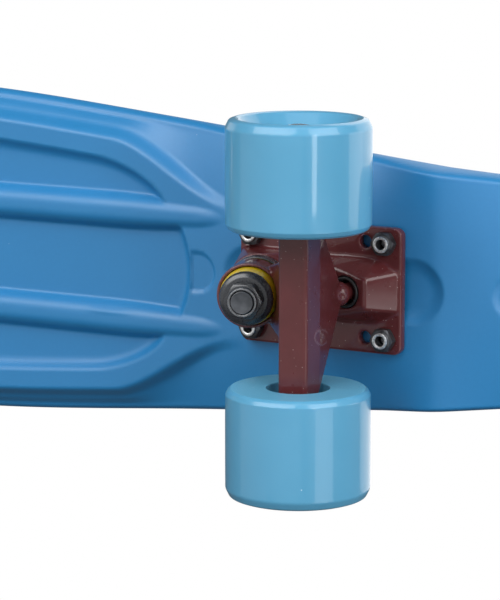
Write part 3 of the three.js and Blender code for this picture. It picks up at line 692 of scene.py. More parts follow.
# The steps from the truck pads and the rails out to the edge.
def flangeHeight(x, y, fromEdge):
    s = deckSizes
    share = flangeShare(x)
    half = sideAt(x)
    crest = np.minimum(crestAt(x, half), half - s["railInset"])
    slope = (crestAt(x + 1, half) - crestAt(x - 1, half)) / 2
    out = (np.abs(y) - crest) / np.sqrt(1 + slope**2)
    inset = insetAt(x)
    width = s["flangeSlope"]
    room = np.maximum(fromEdge - inset + np.maximum(out - width, 0), 1)
    stepped = s["flange"] * smoothstep((out + 1) / (width + 1))
    stepped = stepped + (s["lipStart"] - s["flange"]) * unit((out - width) / room)
    # beside the trucks the pad has no step, and rolls over to the edge
    away = np.maximum(out + 3, 0)
    rolled = s["rollDrop"] * unit(away / np.maximum(away + fromEdge - inset, 1)) ** 1.5
    near = smoothstep((s["padReach"] - inboardOf(x)) / s["padSpread"])
    height = share * (stepped * (1 - near) + rolled * near)
    return height + s["tailBow"] * fade(-inboardOf(x), s["bowStart"], s["bowLength"]) * (y / half) ** 2


# The three channels along the middle: 0 outside them, and 1 on their floors.
def channelShare(x, y):
    s = deckSizes
    groove = np.zeros_like(x)
    for side in (1, -1):
        near = side * y > s["ribCentre"] - 8
        d = np.full(x.shape, -9.0)
        d[near] = insideDistance(x[near], y[near], channelOutline(side))
        groove = np.maximum(groove, drop(d, s["channelWall"]))
    bow = np.full(x.shape, s["centreBow"])
    for axle, outward in ends:
        centre = axle - outward * (s["centreStart"] + s["centreBow"])
        ahead = outward * (x - centre) > 0
        bow = np.where(ahead, s["centreBow"] - np.hypot(x - centre, y), bow)
    return np.maximum(groove, drop(np.minimum(bow, s["ribCentre"] - np.abs(y)), s["channelWall"]))


# The two ribs, and the small flow mark on one of them.
def ribHeight(x, y):
    s = deckSizes
    ribFrom = rearX + s["ribStart"] + s["ribTip"]
    ribTo = frontX - s["ribStart"] - s["ribTip"]
    ending = smoothstep((s["ribFadeStart"] - inboardOf(x)) / s["ribFadeLength"])
    taper = s["ribRadius"] * (1 - s["ribTaper"] * ending)
    pastEnd = (x - np.clip(x, ribFrom, ribTo)) / s["ribTip"]
    across = np.hypot(pastEnd, (np.abs(y) - s["ribCentre"]) / taper)
    top = s["channelDepth"] - (s["ribHeight"] - s["ribSink"] * ending) * (1 - np.clip(across, 0, 1.3) ** 3)
    away = ((x - s["flowX"]) / s["flowLength"]) ** 2 + ((y - s["flowY"]) / s["flowHalf"]) ** 2
    return top - s["flowHeight"] * unit(1 - away)


# Height of the underside above the truck pad's plane, before the ends bend up.
def undersideHeight(x, y, fromEdge):
    s = deckSizes
    height = flangeHeight(x, y, fromEdge) + s["channelDepth"] * channelShare(x, y)
    height = softMin(ribHeight(x, y), height, s["ribBlend"])

    # at each truck a D-shaped and a long recess, and a round one in the tail
    for axle, outward in ends:
        flat = axle - outward * (s["centreStart"] - s["dWall"])
        centre = flat + outward * (s["dLength"] - s["dRadius"])
        ahead = outward * (x - centre)
        d = np.where(ahead > 0, s["dRadius"] - np.hypot(x - centre, y), s["dRadius"] - np.abs(y))
        d = np.minimum(d, outward * (x - flat))
        height = height + s["dDepth"] * drop(d, s["dEdge"])
        reaches = (s["pillHalf"] - s["pillInner"], s["pillOuter"] - s["pillHalf"])
        low, high = sorted(axle + outward * out for out in reaches)
        d = s["pillHalf"] - np.hypot(x - np.clip(x, low, high), y)
        height = height + s["pillDepth"] * drop(d, s["pillWall"])
    d = s["dimpleRadius"] - np.hypot(x - s["dimpleX"], y)
    return height + s["dimpleDepth"] * drop(d, s["dimpleWall"])


# Places along the board, closer together where the underside has more relief.
def deckStations(start, end):
    stations = [start]
    for stop, step in [*stationBands, (end, 1.9)]:
        count = max(1, round((stop - stations[-1]) / step))
        stations += list(np.linspace(stations[-1], stop, count + 1)[1:])
    return stations


def endArc(focus, reach, power, steps):
    arc = []
    for i in range(steps + 1):
        angle = i / steps * math.pi / 2
        x = focus + reach * abs(math.cos(angle)) ** (2 / power)
        arc.append((x, float(sideAt(x)) * math.sin(angle) ** (2 / power), focus))
    arc[0] = (arc[0][0], 0.0, focus)
    return arc


# Points of the outline, each with the place on the centreline that its ring runs in to.
def deckOutline():
    s = deckSizes
    tailFocus = tailX + s["tailRound"]
    noseFocus = noseX - s["noseRound"]
    points = endArc(tailFocus, -s["tailRound"], s["tailPower"], 52)
    points += [(x, float(sideAt(x)), x) for x in deckStations(tailFocus, noseFocus)[1:-1]]
    points += endArc(noseFocus, s["noseRound"], s["nosePower"], 66)[::-1]
    return points + [(x, -y, focus) for x, y, focus in points[-2:0:-1]]


def buildDeck():
    s = deckSizes
    outline = np.array(deckOutline())
    ox, oy, focus = outline[:, 0:1], outline[:, 1:2], outline[:, 2:3]
    reach = np.hypot(ox - focus, oy)
    inset = insetAt(ox)
    sunk = fade(np.abs(ox - middleX), s["edgeSinkStart"], s["edgeSinkLength"])
    edge = s["edgeHeight"] - s["edgeSink"] * sunk

    def placed(distance, height):
        x = focus + (ox - focus) * distance / reach
        return x, oy * distance / reach, height

    # the inner rings run straight along the board, so that the ribs' edges do too
    even, last = s["evenHalf"], s["straightHalf"]
    straight = np.concatenate([np.linspace(0, even, even + 1), np.linspace(even, last, 28)[1:]])
    wall = np.maximum(reach - s["channelInset"], last + 0.5)
    inner = last + np.linspace(0, 1, 13)[1:] * (wall - last)
    outer = wall + np.linspace(0, 1, 20)[1:] * (reach - inset - wall)
    under = np.hstack([np.broadcast_to(straight, (len(outline), len(straight))), inner, outer])
    x, y = placed(under, 0)[:2]
    height = undersideHeight(x, y, reach - under)
    lastHeight = height[:, -1:]
    rings = [(x, y, height)]
    angle = np.arange(1, 9) / 8 * math.pi / 2
    rings.append(placed(reach - inset + inset * np.sin(angle), edge - (edge - lastHeight) * np.cos(angle)))
    angle = np.arange(1, 6) / 5 * math.pi / 2
    topInset = s["lipInset"] + s["topRound"]
    upper = edge + (s["edgeRise"] - edge) * np.sin(angle)
    rings.append(placed(reach - topInset + topInset * np.cos(angle), upper))
    t = 1 - np.arange(1, 15) / 14
    rise = unit((t - s["dishFlat"]) / (1 - s["dishFlat"])) ** s["dishPower"]
    rings.append(placed((reach - topInset) * t, s["thickness"] + (s["edgeRise"] - s["thickness"]) * rise))
    wide = [np.broadcast_to(part, (len(outline), ring[0].shape[1])) for ring in rings for part in ring]
    xs = np.hstack(wide[0::3])
    ys = np.hstack(wide[1::3])
    zs = np.hstack(wide[2::3]) + riseAt(xs) + padZ
    rows, columns = xs.shape
    vertices = np.stack([xs, ys, zs], -1).reshape(-1, 3)
    faces = []
    for i in range(rows):
        j = (i + 1) % rows
        for k in range(columns - 1):
            faces.append((i * columns + k, i * columns + k + 1, j * columns + k + 1, j * columns + k))
    return vertices.tolist(), faces


# Places of the bolts, or of every hole, outward of the axle and across the board.
def boltPlaces(rows):
    b = boltSizes
    outs = {"outer": b["outer"], "free": b["outer"] - b["rowStep"], "inner": b["outer"] - b["long"]}
    return [(outs[row], side * b["wide"] / 2) for row in rows for side in (1, -1)]


def deckPiece():
    b = boltSizes
    head, hole = b["head"], b["hole"]
    top = deckSizes["thickness"]
    below = -deckSizes["holeReach"]
    seat = top - b["sink"]
    profile = [(0, below), (hole, below), (hole, seat - b["headHeight"]), (head + b["seatGap"], seat + 0.2)]
    profile += [(head + 0.9, top + 1), (head + 0.9, 2 * top), (0, 2 * top)]
    countersunk = turned(profile, 32)
    cuts = []
    for axle, outward in ends:
        for out, y in boltPlaces(("outer", "inner")):
            cuts.append((countersunk, Matrix.Translation((axle + outward * out, y, padZ))))
    mesh = combined((buildDeck(), None), cuts=cuts)
    finishMesh(mesh, 50)
    return makePiece("deck_shell", mesh, deckPlastic, "board", ["deck"])


deckShell = deckPiece()
print("deck done", len(deckShell.data.polygons))


# Trucks: x runs outward towards the board's end, z up, zero at the axle's x and the truck pad.

truckSizes = {
    "kingpinOut": -46.2,
    "kingpinLean": math.radians(18.7),
    "ballOut": -0.1,
    "ballDepth": 8.6,
    "ballRadius": 4.3,
    "neckRadius": 5.3,
    "neckStation": 10.6,
    "stemRadius": 3.6,
    "stemEnd": 17,
    "cupLean": math.radians(8),
    "plateInner": -56.5,
    "plateOuter": 20.9,
    "plateHalf": 27.3,
    "plateCorner": 3.9,
    "plateThick": 4.5,
    "spineHalf": 14.6,
    "spineDraft": 3,
    "bossStation": 18.5,
    "bossRadius": 14,
    "bossBand": 2.5,
    "pinBore": (5.05, -6, 20),  # radius, and from where to where
    "headPocket": (8.3, -8, 7.4),
    "cupBore": (6.95, -6.4, 12),
    "pivotRound": 2.4,
    "pivotBoss": [
        (-7.1, 12.2, -2), (9, 12.2, -2), (-7.1, 8.9, -11),
        (-3, 7.9, -11.7), (8.2, 5.3, -13.7), (17.9, 7.2, -3),
    ],
    "hangerHalf": 42.5,
    "beamHalf": 6.7,
    "beamDepth": 6,
    "beamCorner": 1.5,
    "beamLift": 0.4,
    "web": [
        (-0.8, 35.6, -54), (6.7, 35.6, -54), (-0.8, 35.2, -51.8), (6.7, 35.2, -51.8),
        (-6.3, 3.6, -21.5), (1.2, 3.6, -21.5),
    ],
    "saddle": [(-6.7, 19.5, -54), (-0.8, 19.5, -54), (-6.3, 8.5, -35), (-6.7, 8.5, -35)],
    "saddleHalf": 12.2,
    "ringFrom": 34.1,
    "ringTo": 40.1,
    "ringRadius": 13.9,
    "ringBore": 8,
    "ringSkirt": 3.8,
    "seatRadius": 12.5,
    "clearFrom": 18,  # the bushings' room, along the kingpin
    "clearTo": 64,
    "skin": 0.5,
    "plateSoftening": 15,
    "hangerSoftening": 6,
}

# Collar rings painted bright, from and to a radius, above a station, and how much: on the kingpin nut a
# painted highlight on the collar's rim, on the mount nuts their pale collar ring with a painted highlight.
ringHighlightBands = {"kingpinNut": (5.5, 6.1, 7.8, 0.6), "mountNut": (2.2, 3.55, 5.0, 1.0)}


def truckFrames():
    frames = {}
    for prefix, x, turn in (("front_", frontX, 0), ("rear_", rearX, math.pi)):
        frames[prefix] = Matrix.Translation((x, 0, padZ)) @ Matrix.Rotation(turn, 4, "Z")
    return frames


def leaningFrame(out, depth, lean):
    return Matrix.Translation((out, 0, -depth)) @ Matrix.Rotation(math.pi + lean, 4, "Y")


kingpinFrame = leaningFrame(truckSizes["kingpinOut"], 0, -truckSizes["kingpinLean"])
pivotFrame = leaningFrame(truckSizes["ballOut"], truckSizes["ballDepth"], truckSizes["cupLean"])


def rod(radius, low, high, segments=48):
    return turned([(0, low), (radius, low), (radius, high), (0, high)], segments)


# The points on both sides of the board's centre plane, one pair after the other.
def bothSides(points):
    return [(x, side * y, z) for side in (1, -1) for x, y, z in points]


def baseplateMesh():
    s = truckSizes
    inner = s["plateInner"]
    thick = s["plateThick"]
    plate = prismOf(plateOutline(inner, s["plateOuter"], s["plateHalf"], s["plateCorner"]), -thick, 0)
    foot = s["spineHalf"]
    top = foot - s["spineDraft"]
    spine = bothSides([(inner + 1, foot, -2), (6.9, foot, -2), (inner + 4, top, -9.5), (3.9, top, -9.5)])
    boss = bothSides([(inner + 1, foot, -2), (-27, foot, -2)])
    for cx, cy in circle(64):
        for station in (s["bossStation"], s["bossStation"] - s["bossBand"]):
            point = Vector((s["bossRadius"] * cx, s["bossRadius"] * cy, station))
            boss.append(tuple(kingpinFrame @ point))
    pivot = softHull(bothSides(s["pivotBoss"]), s["pivotRound"])
    joins = [(hullOf(spine), None), (hullOf(boss), None), (pivot, None)]
    cuts = [
        (rod(*s["pinBore"]), kingpinFrame),
        (rod(*s["headPocket"]), kingpinFrame),
        (rod(*s["cupBore"]), pivotFrame),
    ]
    for x, y in boltPlaces(("outer", "free", "inner")):
        cuts.append((rod(boltSizes["hole"], -2 * thick, 3, 32), Matrix.Translation((x, y, 0))))
    return castSkin(combined((plate, None), joins, cuts), s["skin"], s["plateSoftening"])


def hangerMesh():
    s = truckSizes
    outline = plateOutline(-s["beamHalf"], s["beamHalf"], s["beamDepth"], s["beamCorner"], 5)
    turn = Matrix.Rotation(math.pi / 2, 4, "X")
    lift = Matrix.Translation((0, s["hangerHalf"], s["beamLift"] - board["truckHeight"]))
    beam = prismOf(outline, 0, 2 * s["hangerHalf"])
    low, high = s["ringFrom"], s["ringTo"]
    bore = s["ringBore"]
    seat = s["seatRadius"]
    saddle = []
    for station in (low, high):
        x = s["kingpinOut"] + station * math.sin(s["kingpinLean"]) + bore * math.cos(s["kingpinLean"])
        z = bore * math.sin(s["kingpinLean"]) - station * math.cos(s["kingpinLean"])
        saddle.append((x, s["saddleHalf"], z))
    radius, bottom, top = s["ringRadius"], low - s["ringSkirt"], high + s["ringSkirt"]
    ring = [(bore, low), (bore, high), (seat, high), (seat, top)]
    ring += [(radius, top), (radius, bottom), (seat, bottom), (seat, low)]
    ball, neck, stemRadius = s["ballRadius"], s["neckRadius"], s["stemRadius"]
    stem = quarterBall(ball)
    for a in np.linspace(0, math.pi, 15):
        stem.append((max(neck * math.sin(a), stemRadius), s["neckStation"] - neck * math.cos(a)))
    stem += [(stemRadius, s["stemEnd"]), (0, s["stemEnd"])]
    joins = [
        (hullOf(bothSides(s["web"])), None),
        (hullOf(bothSides([*saddle, *s["saddle"]])), None),
        (turned(ring, 72), kingpinFrame),
        (turned(stem, 40), pivotFrame),
    ]
    start, end = s["clearFrom"], s["clearTo"]
    clear = ((seat, high, end), (seat, start, low), (bore, start, end))
    cuts = [(rod(*sizes, 64), kingpinFrame) for sizes in clear]
    return castSkin(combined((beam, lift @ turn), joins, cuts), s["skin"], s["hangerSoftening"])


nutCut = {"chamferShare": 0.96, "chamferAngle": math.radians(28), "corner": 0.12}


# A hex nut with a round collar; the chamfer drops as the hexagon's corners reach out.
def hexNut(flats, height, collar, collarRadius, bore, segments=72):
    inner = flats / 2
    chamfer = inner * nutCut["chamferShare"]
    cone = math.tan(nutCut["chamferAngle"])

    def section(radius):
        slope = (radius - chamfer) * cone
        top, r = height + collar, collarRadius
        hexagon = [(bore, 0), (chamfer, 0), (radius, slope), (radius, height - slope), (chamfer, height)]
        wall = [(r + 0.25, height + 0.02), (r, height + 0.3), (r, top - 0.55), (r - 0.16, top - 0.16)]
        lip = [(r - 0.55, top), (bore + 0.55, top), (bore + 0.12, top - 0.2), (bore, top - 0.6)]
        return hexagon + wall + lip

    vertices = []
    half = math.pi / 6
    widest = inner / math.cos(half) - nutCut["corner"]
    for i in range(segments):
        angle = 2 * math.pi * i / segments
        fold = (angle + half) % (math.pi / 3) - half
        radius = min(inner / math.cos(half - abs(fold)), widest)
        vertices += [(r * math.cos(angle), r * math.sin(angle), z) for r, z in section(radius)]
    return vertices, ringFaces(segments, len(section(inner)))


# The end of a threaded rod: small grooves, then a chamfer.
def threadedEnd(radius, start, end, pitch, depth):
    points = []
    z = start
    while z < end - 1.2:
        points += [(radius, z), (radius - depth, z + pitch / 2)]
        z += pitch
    return points + [(radius, end - 0.8), (radius - 0.8, end), (0, end)]


# A quarter of a ball, from its pole.
def quarterBall(radius):
    arc = [(radius * math.sin(a), -radius * math.cos(a)) for a in np.linspace(0, math.pi / 2, 9)]
    return [(0, -radius), *arc[1:]]


# Stations along the kingpin from the truck pad, and along the axle from the board's middle.
pinSizes = {"radius": 4.75, "bore": 5.3, "boardSeat": 20.5, "roadSeat": 51.1, "nutSeat": 52.7}
axleSizes = {"radius": 3.97, "end": 75.65, "wheelMiddle": 55.7, "washer": 68, "nutSeat": 68.9}
wheelSizes = {"radius": 30, "half": 22.85, "bearing": 11.3, "shoulder": 5, "bearingMiddle": 8.5}
kingpinNutSizes = {"flats": 14.3, "height": 6.2, "collar": 1.9, "collarRadius": 6.2, "bore": 5.05}
axleNutSizes = {"flats": 12.7, "height": 5, "collar": 1.4, "collarRadius": 5.4, "bore": 4.27}
bushingSizes = {"boardFoot": 11.9, "roadFoot": 12.3, "roadTop": 11.3, "fillet": 1.3, "waist": 0.35}


def kingpinShape():
    r = pinSizes["radius"]
    shaft = [(0, 1.6), (8, 1.6, 0.6), (8, 7.1, 0.4), (r, 7.1), (r, 50)]
    for station in np.arange(50.2, 60, 1.25):
        shaft += [(r, station), (4.4, station + 0.6)]
    shaft += [(r, 60.4), (r, 61.0), (4.5, 61.2), (4.3, 61.15), (0, 61.05)]
    return turned(rounded(shaft), 48)


def bushingShape(low, high, foot, top):
    bore, fillet = pinSizes["bore"], bushingSizes["fillet"]
    waist = ((foot + top) / 2 + bushingSizes["waist"], (low + high) / 2, 4)
    side = [(foot, low, fillet), waist, (top, high, fillet)]
    return turned(rounded([(bore, low), *side, (bore, high)], 6), 72)


def boardWasherShape():
    bore, seat = pinSizes["bore"], pinSizes["boardSeat"]
    lip = [(13.6, 18.5, 0.8), (13.6, 25.4, 0.4), (12.8, 25.4, 0.3), (12.6, seat, 0.4)]
    return turned(rounded([(bore, 18.5), *lip, (bore, seat)]), 72)


def roadWasherShape():
    bore, seat, nut = pinSizes["bore"], pinSizes["roadSeat"], pinSizes["nutSeat"]
    lip = [(10.7, seat), (10.7, 49.7, 0.3), (11.5, 49.7, 0.35), (11.5, 50.6, 0.9), (10.9, 51.7, 0.9)]
    dome = [(9.4, 52.55, 1.2), (8.0, nut, 0.2), (bore, nut)]
    return turned(rounded([(bore, seat), *lip, *dome], 6), 72)


def cupShape():
    wall = [(0, -6.3), (6.7, -6.3, 0.5), (6.7, 6.4, 0.9), (5.4, 6.4, 0.7), (5.0, 3.2)]
    return turned(rounded(wall + quarterBall(4.6)[::-1]), 56)


def axleShape():
    r = axleSizes["radius"]
    face = truckSizes["hangerHalf"]
    half = [(5.6, face), (5.6, 43.4), (r, 43.4), (r, 51), (5.2, 51), (5.2, 60.4), (r, 60.4)]
    half += threadedEnd(r, 66, axleSizes["end"], 1.0, 0.3)
    other = [(r, -z) for r, z in half][::-1]
    return turned(other + [(r, -face), (r, face)] + half, 40)


def wheelShape():
    s = wheelSizes
    r, half, bearing, shoulder = s["radius"], s["half"], s["bearing"], s["shoulder"]
    innerLip = [(13.1, -half, 0.5), (27.8, -half, 0.7), (29.0, -22.0, 1.6), (29.95, -20.3, 1.4)]
    outerLip = [(29.98, 14.0), (29.97, 19.0, 3.5), (28.5, 22.05, 1.5), (26.2, half, 1.5), (24.3, 22.3, 1.5)]
    dish = [(19.5, 16.4, 6), (15.0, 12.9, 3), (13.4, 12.35, 0.3), (bearing, 12.0), (bearing, shoulder)]
    bore = [(8.6, shoulder), (8.6, -shoulder), (bearing, -shoulder), (bearing, -12.0), (12.6, -12.1, 0.5)]
    return turned(rounded([*innerLip, (r, -8), (r, 8), *outerLip, *dish, *bore], 7), 128)


def bearingShape(middle):
    outward = 1 if middle > 0 else -1
    outer = [(11, 3.5, 0.3), (8.9, 3.5, 0.15), (8.7, 3.05), (8.2, 3.0), (6.4, 3.1), (6.15, 3.0)]
    inner = [(6.0, 3.5, 0.15), (4.25, 3.5, 0.3), (4.25, -3.5, 0.3), (11, -3.5, 0.3)]
    return turned([(r, middle + outward * z) for r, z in rounded(outer + inner, 3)], 64)


def speedWasherShape():
    low, high = axleSizes["washer"], axleSizes["nutSeat"]
    return turned(rounded([(4.25, low), (5.6, low, 0.15), (5.6, high, 0.15), (4.25, high)], 2), 48)


sharedMeshes = {"baseplate": baseplateMesh(), "hanger": hangerMesh()}
print("castings done", {key: len(mesh.polygons) for key, mesh in sharedMeshes.items()})


# Marks the vertices inside a radius of an axis, above a station: the hanger's mould rings, and the nuts'
# collar rings, which are painted bright as a painted highlight.
def markRing(mesh, matrix, inner, outer, station, amount):
    marksAndHighlights = mesh.attributes.get("marksAndHighlights") or mesh.attributes.new("marksAndHighlights", "FLOAT", "POINT")
    back = matrix.inverted()
    for vertex, value in zip(mesh.vertices, marksAndHighlights.data):
        local = back @ (vertex.co / mm)
        if inner <= math.hypot(local.x, local.y) <= outer and local.z >= station:
            value.value = amount


# Two small rings that the mould left on the hanger: how far out, and where.
markAxis = Vector((0.473, -0.175, -0.864)).to_track_quat("Z", "Y").to_matrix().to_4x4()
for spot, inner, outer, depth in (((6.1, 12.9, -48.8), 2.7, 3.3, 7), ((2.2, 0, -22.8), 1.3, 1.8, 1.5)):
    markRing(sharedMeshes["hanger"], Matrix.Translation(spot) @ markAxis, inner, outer, -depth, 1.0)


# The wheel's flat inner face keeps the lathe's rings: how far out each vertex is, and where they were cut.
def addLatheMarks(mesh, matrix, height):
    radius = mesh.attributes.new("latheRadius", "FLOAT", "POINT")
    cut = mesh.attributes.new("latheCut", "FLOAT", "POINT")
    back = matrix.inverted()
    for i, vertex in enumerate(mesh.vertices):
        local = back @ (vertex.co / mm)
        radius.data[i].value = math.hypot(local.x, local.y)
        cut.data[i].value = 1.0 if abs(local.z - height) < 0.05 else 0.0


def movedMesh(name, source, matrix):
    mesh = source.copy()
    mesh.name = name
    mesh.transform(Matrix.Scale(mm, 4) @ matrix @ Matrix.Scale(1 / mm, 4))
    mesh.update()
    return mesh


def turnedPiece(name, shape, matrix, finish, body, sharpAngle=35):
    return makePiece(name + "_look", makeMesh(name, *shape, matrix, sharpAngle), finish, body, [name])


# The bushings, each between its washer and the hanger's ring, baked in place and joined to no body.
def buildBushings(prefix, kingpin):
    b = bushingSizes
    for side, seat, free, foot, top in (
        ("board", pinSizes["boardSeat"], truckSizes["ringFrom"], b["boardFoot"], b["boardFoot"]),
        ("road", pinSizes["roadSeat"], truckSizes["ringTo"], b["roadFoot"], b["roadTop"]),
    ):
        name = prefix + side + "_side_bushing"
        shape = bushingShape(min(seat, free), max(seat, free), foot, top)
        mesh = makeMesh(name, *shape, kingpin, 50)
        piece = makePiece(name + "_look", mesh, bushingUrethane, None, [name])
        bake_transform(piece)


def buildAxleEnd(prefix, side, hanger):
    wheelBody = prefix + "wheel_set"
    middle = side @ Matrix.Translation((0, 0, axleSizes["wheelMiddle"]))
    wheel = turnedPiece(prefix + "wheel", wheelShape(), middle, wheelUrethane, wheelBody, 50)
    addLatheMarks(wheel.data, middle, -wheelSizes["half"])
    for name, place in (("bearing_inner", -1), ("bearing_outer", 1)):
        bearing = bearingShape(place * wheelSizes["bearingMiddle"])
        turnedPiece(prefix + name, bearing, middle, plainSteel, wheelBody)
    turnedPiece(prefix + "speed_washer", speedWasherShape(), side, plainSteel, hanger)
    nutPlace = side @ Matrix.Translation((0, 0, axleSizes["nutSeat"]))
    turnedPiece(prefix + "axle_nut", hexNut(**axleNutSizes), nutPlace, plainSteel, hanger, 30)


def buildTruck(prefix, truck):
    kingpin = truck @ kingpinFrame
    hanger = prefix + "hanger_set"
    for name, body in (("baseplate", "board"), ("hanger", hanger)):
        mesh = movedMesh(prefix + name, sharedMeshes[name], truck)
        makePiece(prefix + name + "_casting", mesh, truckPaint, body, [prefix + name])
    turnedPiece(prefix + "pivot_cup", cupShape(), truck @ pivotFrame, cupPlastic, "board")
    turnedPiece(prefix + "kingpin", kingpinShape(), kingpin, pinSteel, "board")
    turnedPiece(prefix + "board_side_washer", boardWasherShape(), kingpin, blackSteel, "board")
    turnedPiece(prefix + "road_side_washer", roadWasherShape(), kingpin, blackSteel, "board")
    nutFrame = kingpin @ Matrix.Translation((0, 0, pinSizes["nutSeat"]))
    nut = turnedPiece(prefix + "kingpin_nut", hexNut(**kingpinNutSizes), nutFrame, blackSteel, "board", 30)
    # the kingpin nut's collar rim is painted bright: a painted highlight
    markRing(nut.data, nutFrame, *ringHighlightBands["kingpinNut"])
    buildBushings(prefix, kingpin)
    wheelLine = truck @ Matrix.Translation((0, 0, -board["truckHeight"]))
    along = Matrix.Rotation(-math.pi / 2, 4, "X")
    turnedPiece(prefix + "axle", axleShape(), wheelLine @ along, plainSteel, hanger)
    names = ("left", "right") if prefix == "front_" else ("right", "left")
    for sideName, turn in zip(names, (0, math.pi)):
        side = wheelLine @ Matrix.Rotation(turn, 4, "Z") @ along
        buildAxleEnd(prefix + sideName + "_", side, hanger)


for prefix, truck in truckFrames().items():
    buildTruck(prefix, truck)
print("trucks done")


# Patterns: a geometry, named lengths and a material go in, and a geometry comes out.

def newPattern(name, lengths):
    tree = bpy.data.node_groups.new(name, "GeometryNodeTree")
    kinds = {"Geometry": "NodeSocketGeometry"} | {label: "NodeSocketFloat" for label in lengths}
    kinds["Material"] = "NodeSocketMaterial"
    face = tree.interface
    sockets = {}
    for label, kind in kinds.items():
        sockets[label] = face.new_socket(label, in_out="INPUT", socket_type=kind).identifier
    face.new_socket("Geometry", in_out="OUTPUT", socket_type="NodeSocketGeometry")
    return tree, sockets, tree.nodes.new("NodeGroupInput").outputs


def closePattern(tree, placed, material):
    real = wired(tree, "GeometryNodeRealizeInstances", {"Geometry": placed.outputs["Instances"]})
    inputs = {"Geometry": real.outputs["Geometry"], "Material": material}
    finish = wired(tree, "GeometryNodeSetMaterial", inputs)
    wired(tree, "NodeGroupOutput", {"Geometry": finish.outputs["Geometry"]})


# Runs a pattern on a mesh, and gives what comes out as a plain mesh.
def patterned(name, mesh, tree, sockets, lengths, material):
    host = addObject(name, mesh)
    pattern = host.modifiers.new("pattern", "NODES")
    pattern.node_group = tree
    for label, length in lengths.items():
        pattern[sockets[label]] = length * mm
    pattern[sockets["Material"]] = material
    result = appliedMesh(host)
    dropObject(host)
    return result


# Mounting hardware: one nut and one bolt, set out on the bolt pattern of both trucks.

def boltPattern(name, lengths):
    tree, sockets, into = newPattern(name, lengths)
    join = tree.nodes.new("GeometryNodeJoinGeometry")
    spacing = {"Size X": into["Spacing Long"], "Size Y": into["Spacing Wide"]}
    for label in ("Rear Centre", "Front Centre"):
        grid = wired(tree, "GeometryNodeMeshGrid", {"Vertices X": 2, "Vertices Y": 2, **spacing})
        place = wired(tree, "ShaderNodeCombineXYZ", {"X": into[label], "Z": into["Height"]})
        inputs = {"Geometry": grid.outputs["Mesh"], "Translation": place.outputs["Vector"]}
        move = wired(tree, "GeometryNodeTransform", inputs)
        tree.links.new(move.outputs["Geometry"], join.inputs["Geometry"])
    inputs = {"Points": join.outputs["Geometry"], "Instance": into["Geometry"]}
    closePattern(tree, wired(tree, "GeometryNodeInstanceOnPoints", inputs), into["Material"])
    return tree, sockets


def boltMesh():
    b = boltSizes
    top = deckSizes["thickness"] - b["sink"]
    end = -truckSizes["plateThick"] - nutSizes["height"] - nutSizes["collar"] + b["past"]
    shaft = [(0, end), (b["radius"] - 0.5, end), (b["radius"], end + 0.5)]
    z = end + 0.6
    while z < -0.5:
        shaft += [(b["radius"], z), (b["radius"] - b["thread"], z + b["pitch"] / 2)]
        z += b["pitch"]
    shaft += [(b["radius"], 0), (b["radius"], top - b["headHeight"]), (b["head"], top - 0.5)]
    shaft += [(b["head"] - 0.15, top), (0, top)]
    slot = []
    for (along, across), z in ((b["slotHalf"], top + 1), (b["slotTip"], top - b["slotDepth"])):
        slot += [(x, y, z) for x in (-along, along) for y in (-across, across)]
    arms = [(hullOf(slot), Matrix.Rotation(turn, 4, "Z")) for turn in (0, math.pi / 2)]
    mesh = combined((turned(shaft, 32), None), cuts=arms)
    finishMesh(mesh, 30)
    return mesh


def setOut(name, mesh, finish, height, replaced):
    b = boltSizes
    centre = b["outer"] - b["long"] / 2
    lengths = {
        "Spacing Long": b["long"],
        "Spacing Wide": b["wide"],
        "Rear Centre": rearX - centre,
        "Front Centre": frontX + centre,
        "Height": height,
    }
    tree, sockets = boltPattern(name + "_pattern", lengths)
    result = patterned(name, mesh, tree, sockets, lengths, finish[0])
    finishMesh(result, 30)
    makePiece(name, result, finish, "board", replaced)


corners = [end + "_" + side for end in ("outer", "inner") for side in ("left", "right")]
nutNodes, boltNodes = [
    [prefix + kind + corner for prefix in ("front_", "rear_") for corner in corners]
    for kind in ("mount_nut_", "mount_bolt_")
]
nutTurn = Matrix.Rotation(math.pi, 4, "X")
nutMesh = makeMesh("mount_nut", *hexNut(**nutSizes), nutTurn, 30)
# the collar ring is painted pale and bright: its own pale ring and a painted highlight
markRing(nutMesh, nutTurn, *ringHighlightBands["mountNut"])
setOut("mount_nuts", nutMesh, nutSteel, padZ - truckSizes["plateThick"], nutNodes)
setOut("mount_bolts", boltMesh(), plainSteel, padZ, boltNodes)
print("hardware done")


# Grip pips on the deck's top, in staggered rows.

pipSizes = {
    "Length": board["length"],
    "Width": 2 * board["halfWidth"],
    "Pitch": 7,
    "Radius": 1.5,
    "Height": 0.55,
}
pipLook = {"sides": 8, "topShare": 0.6, "flattest": 0.945}


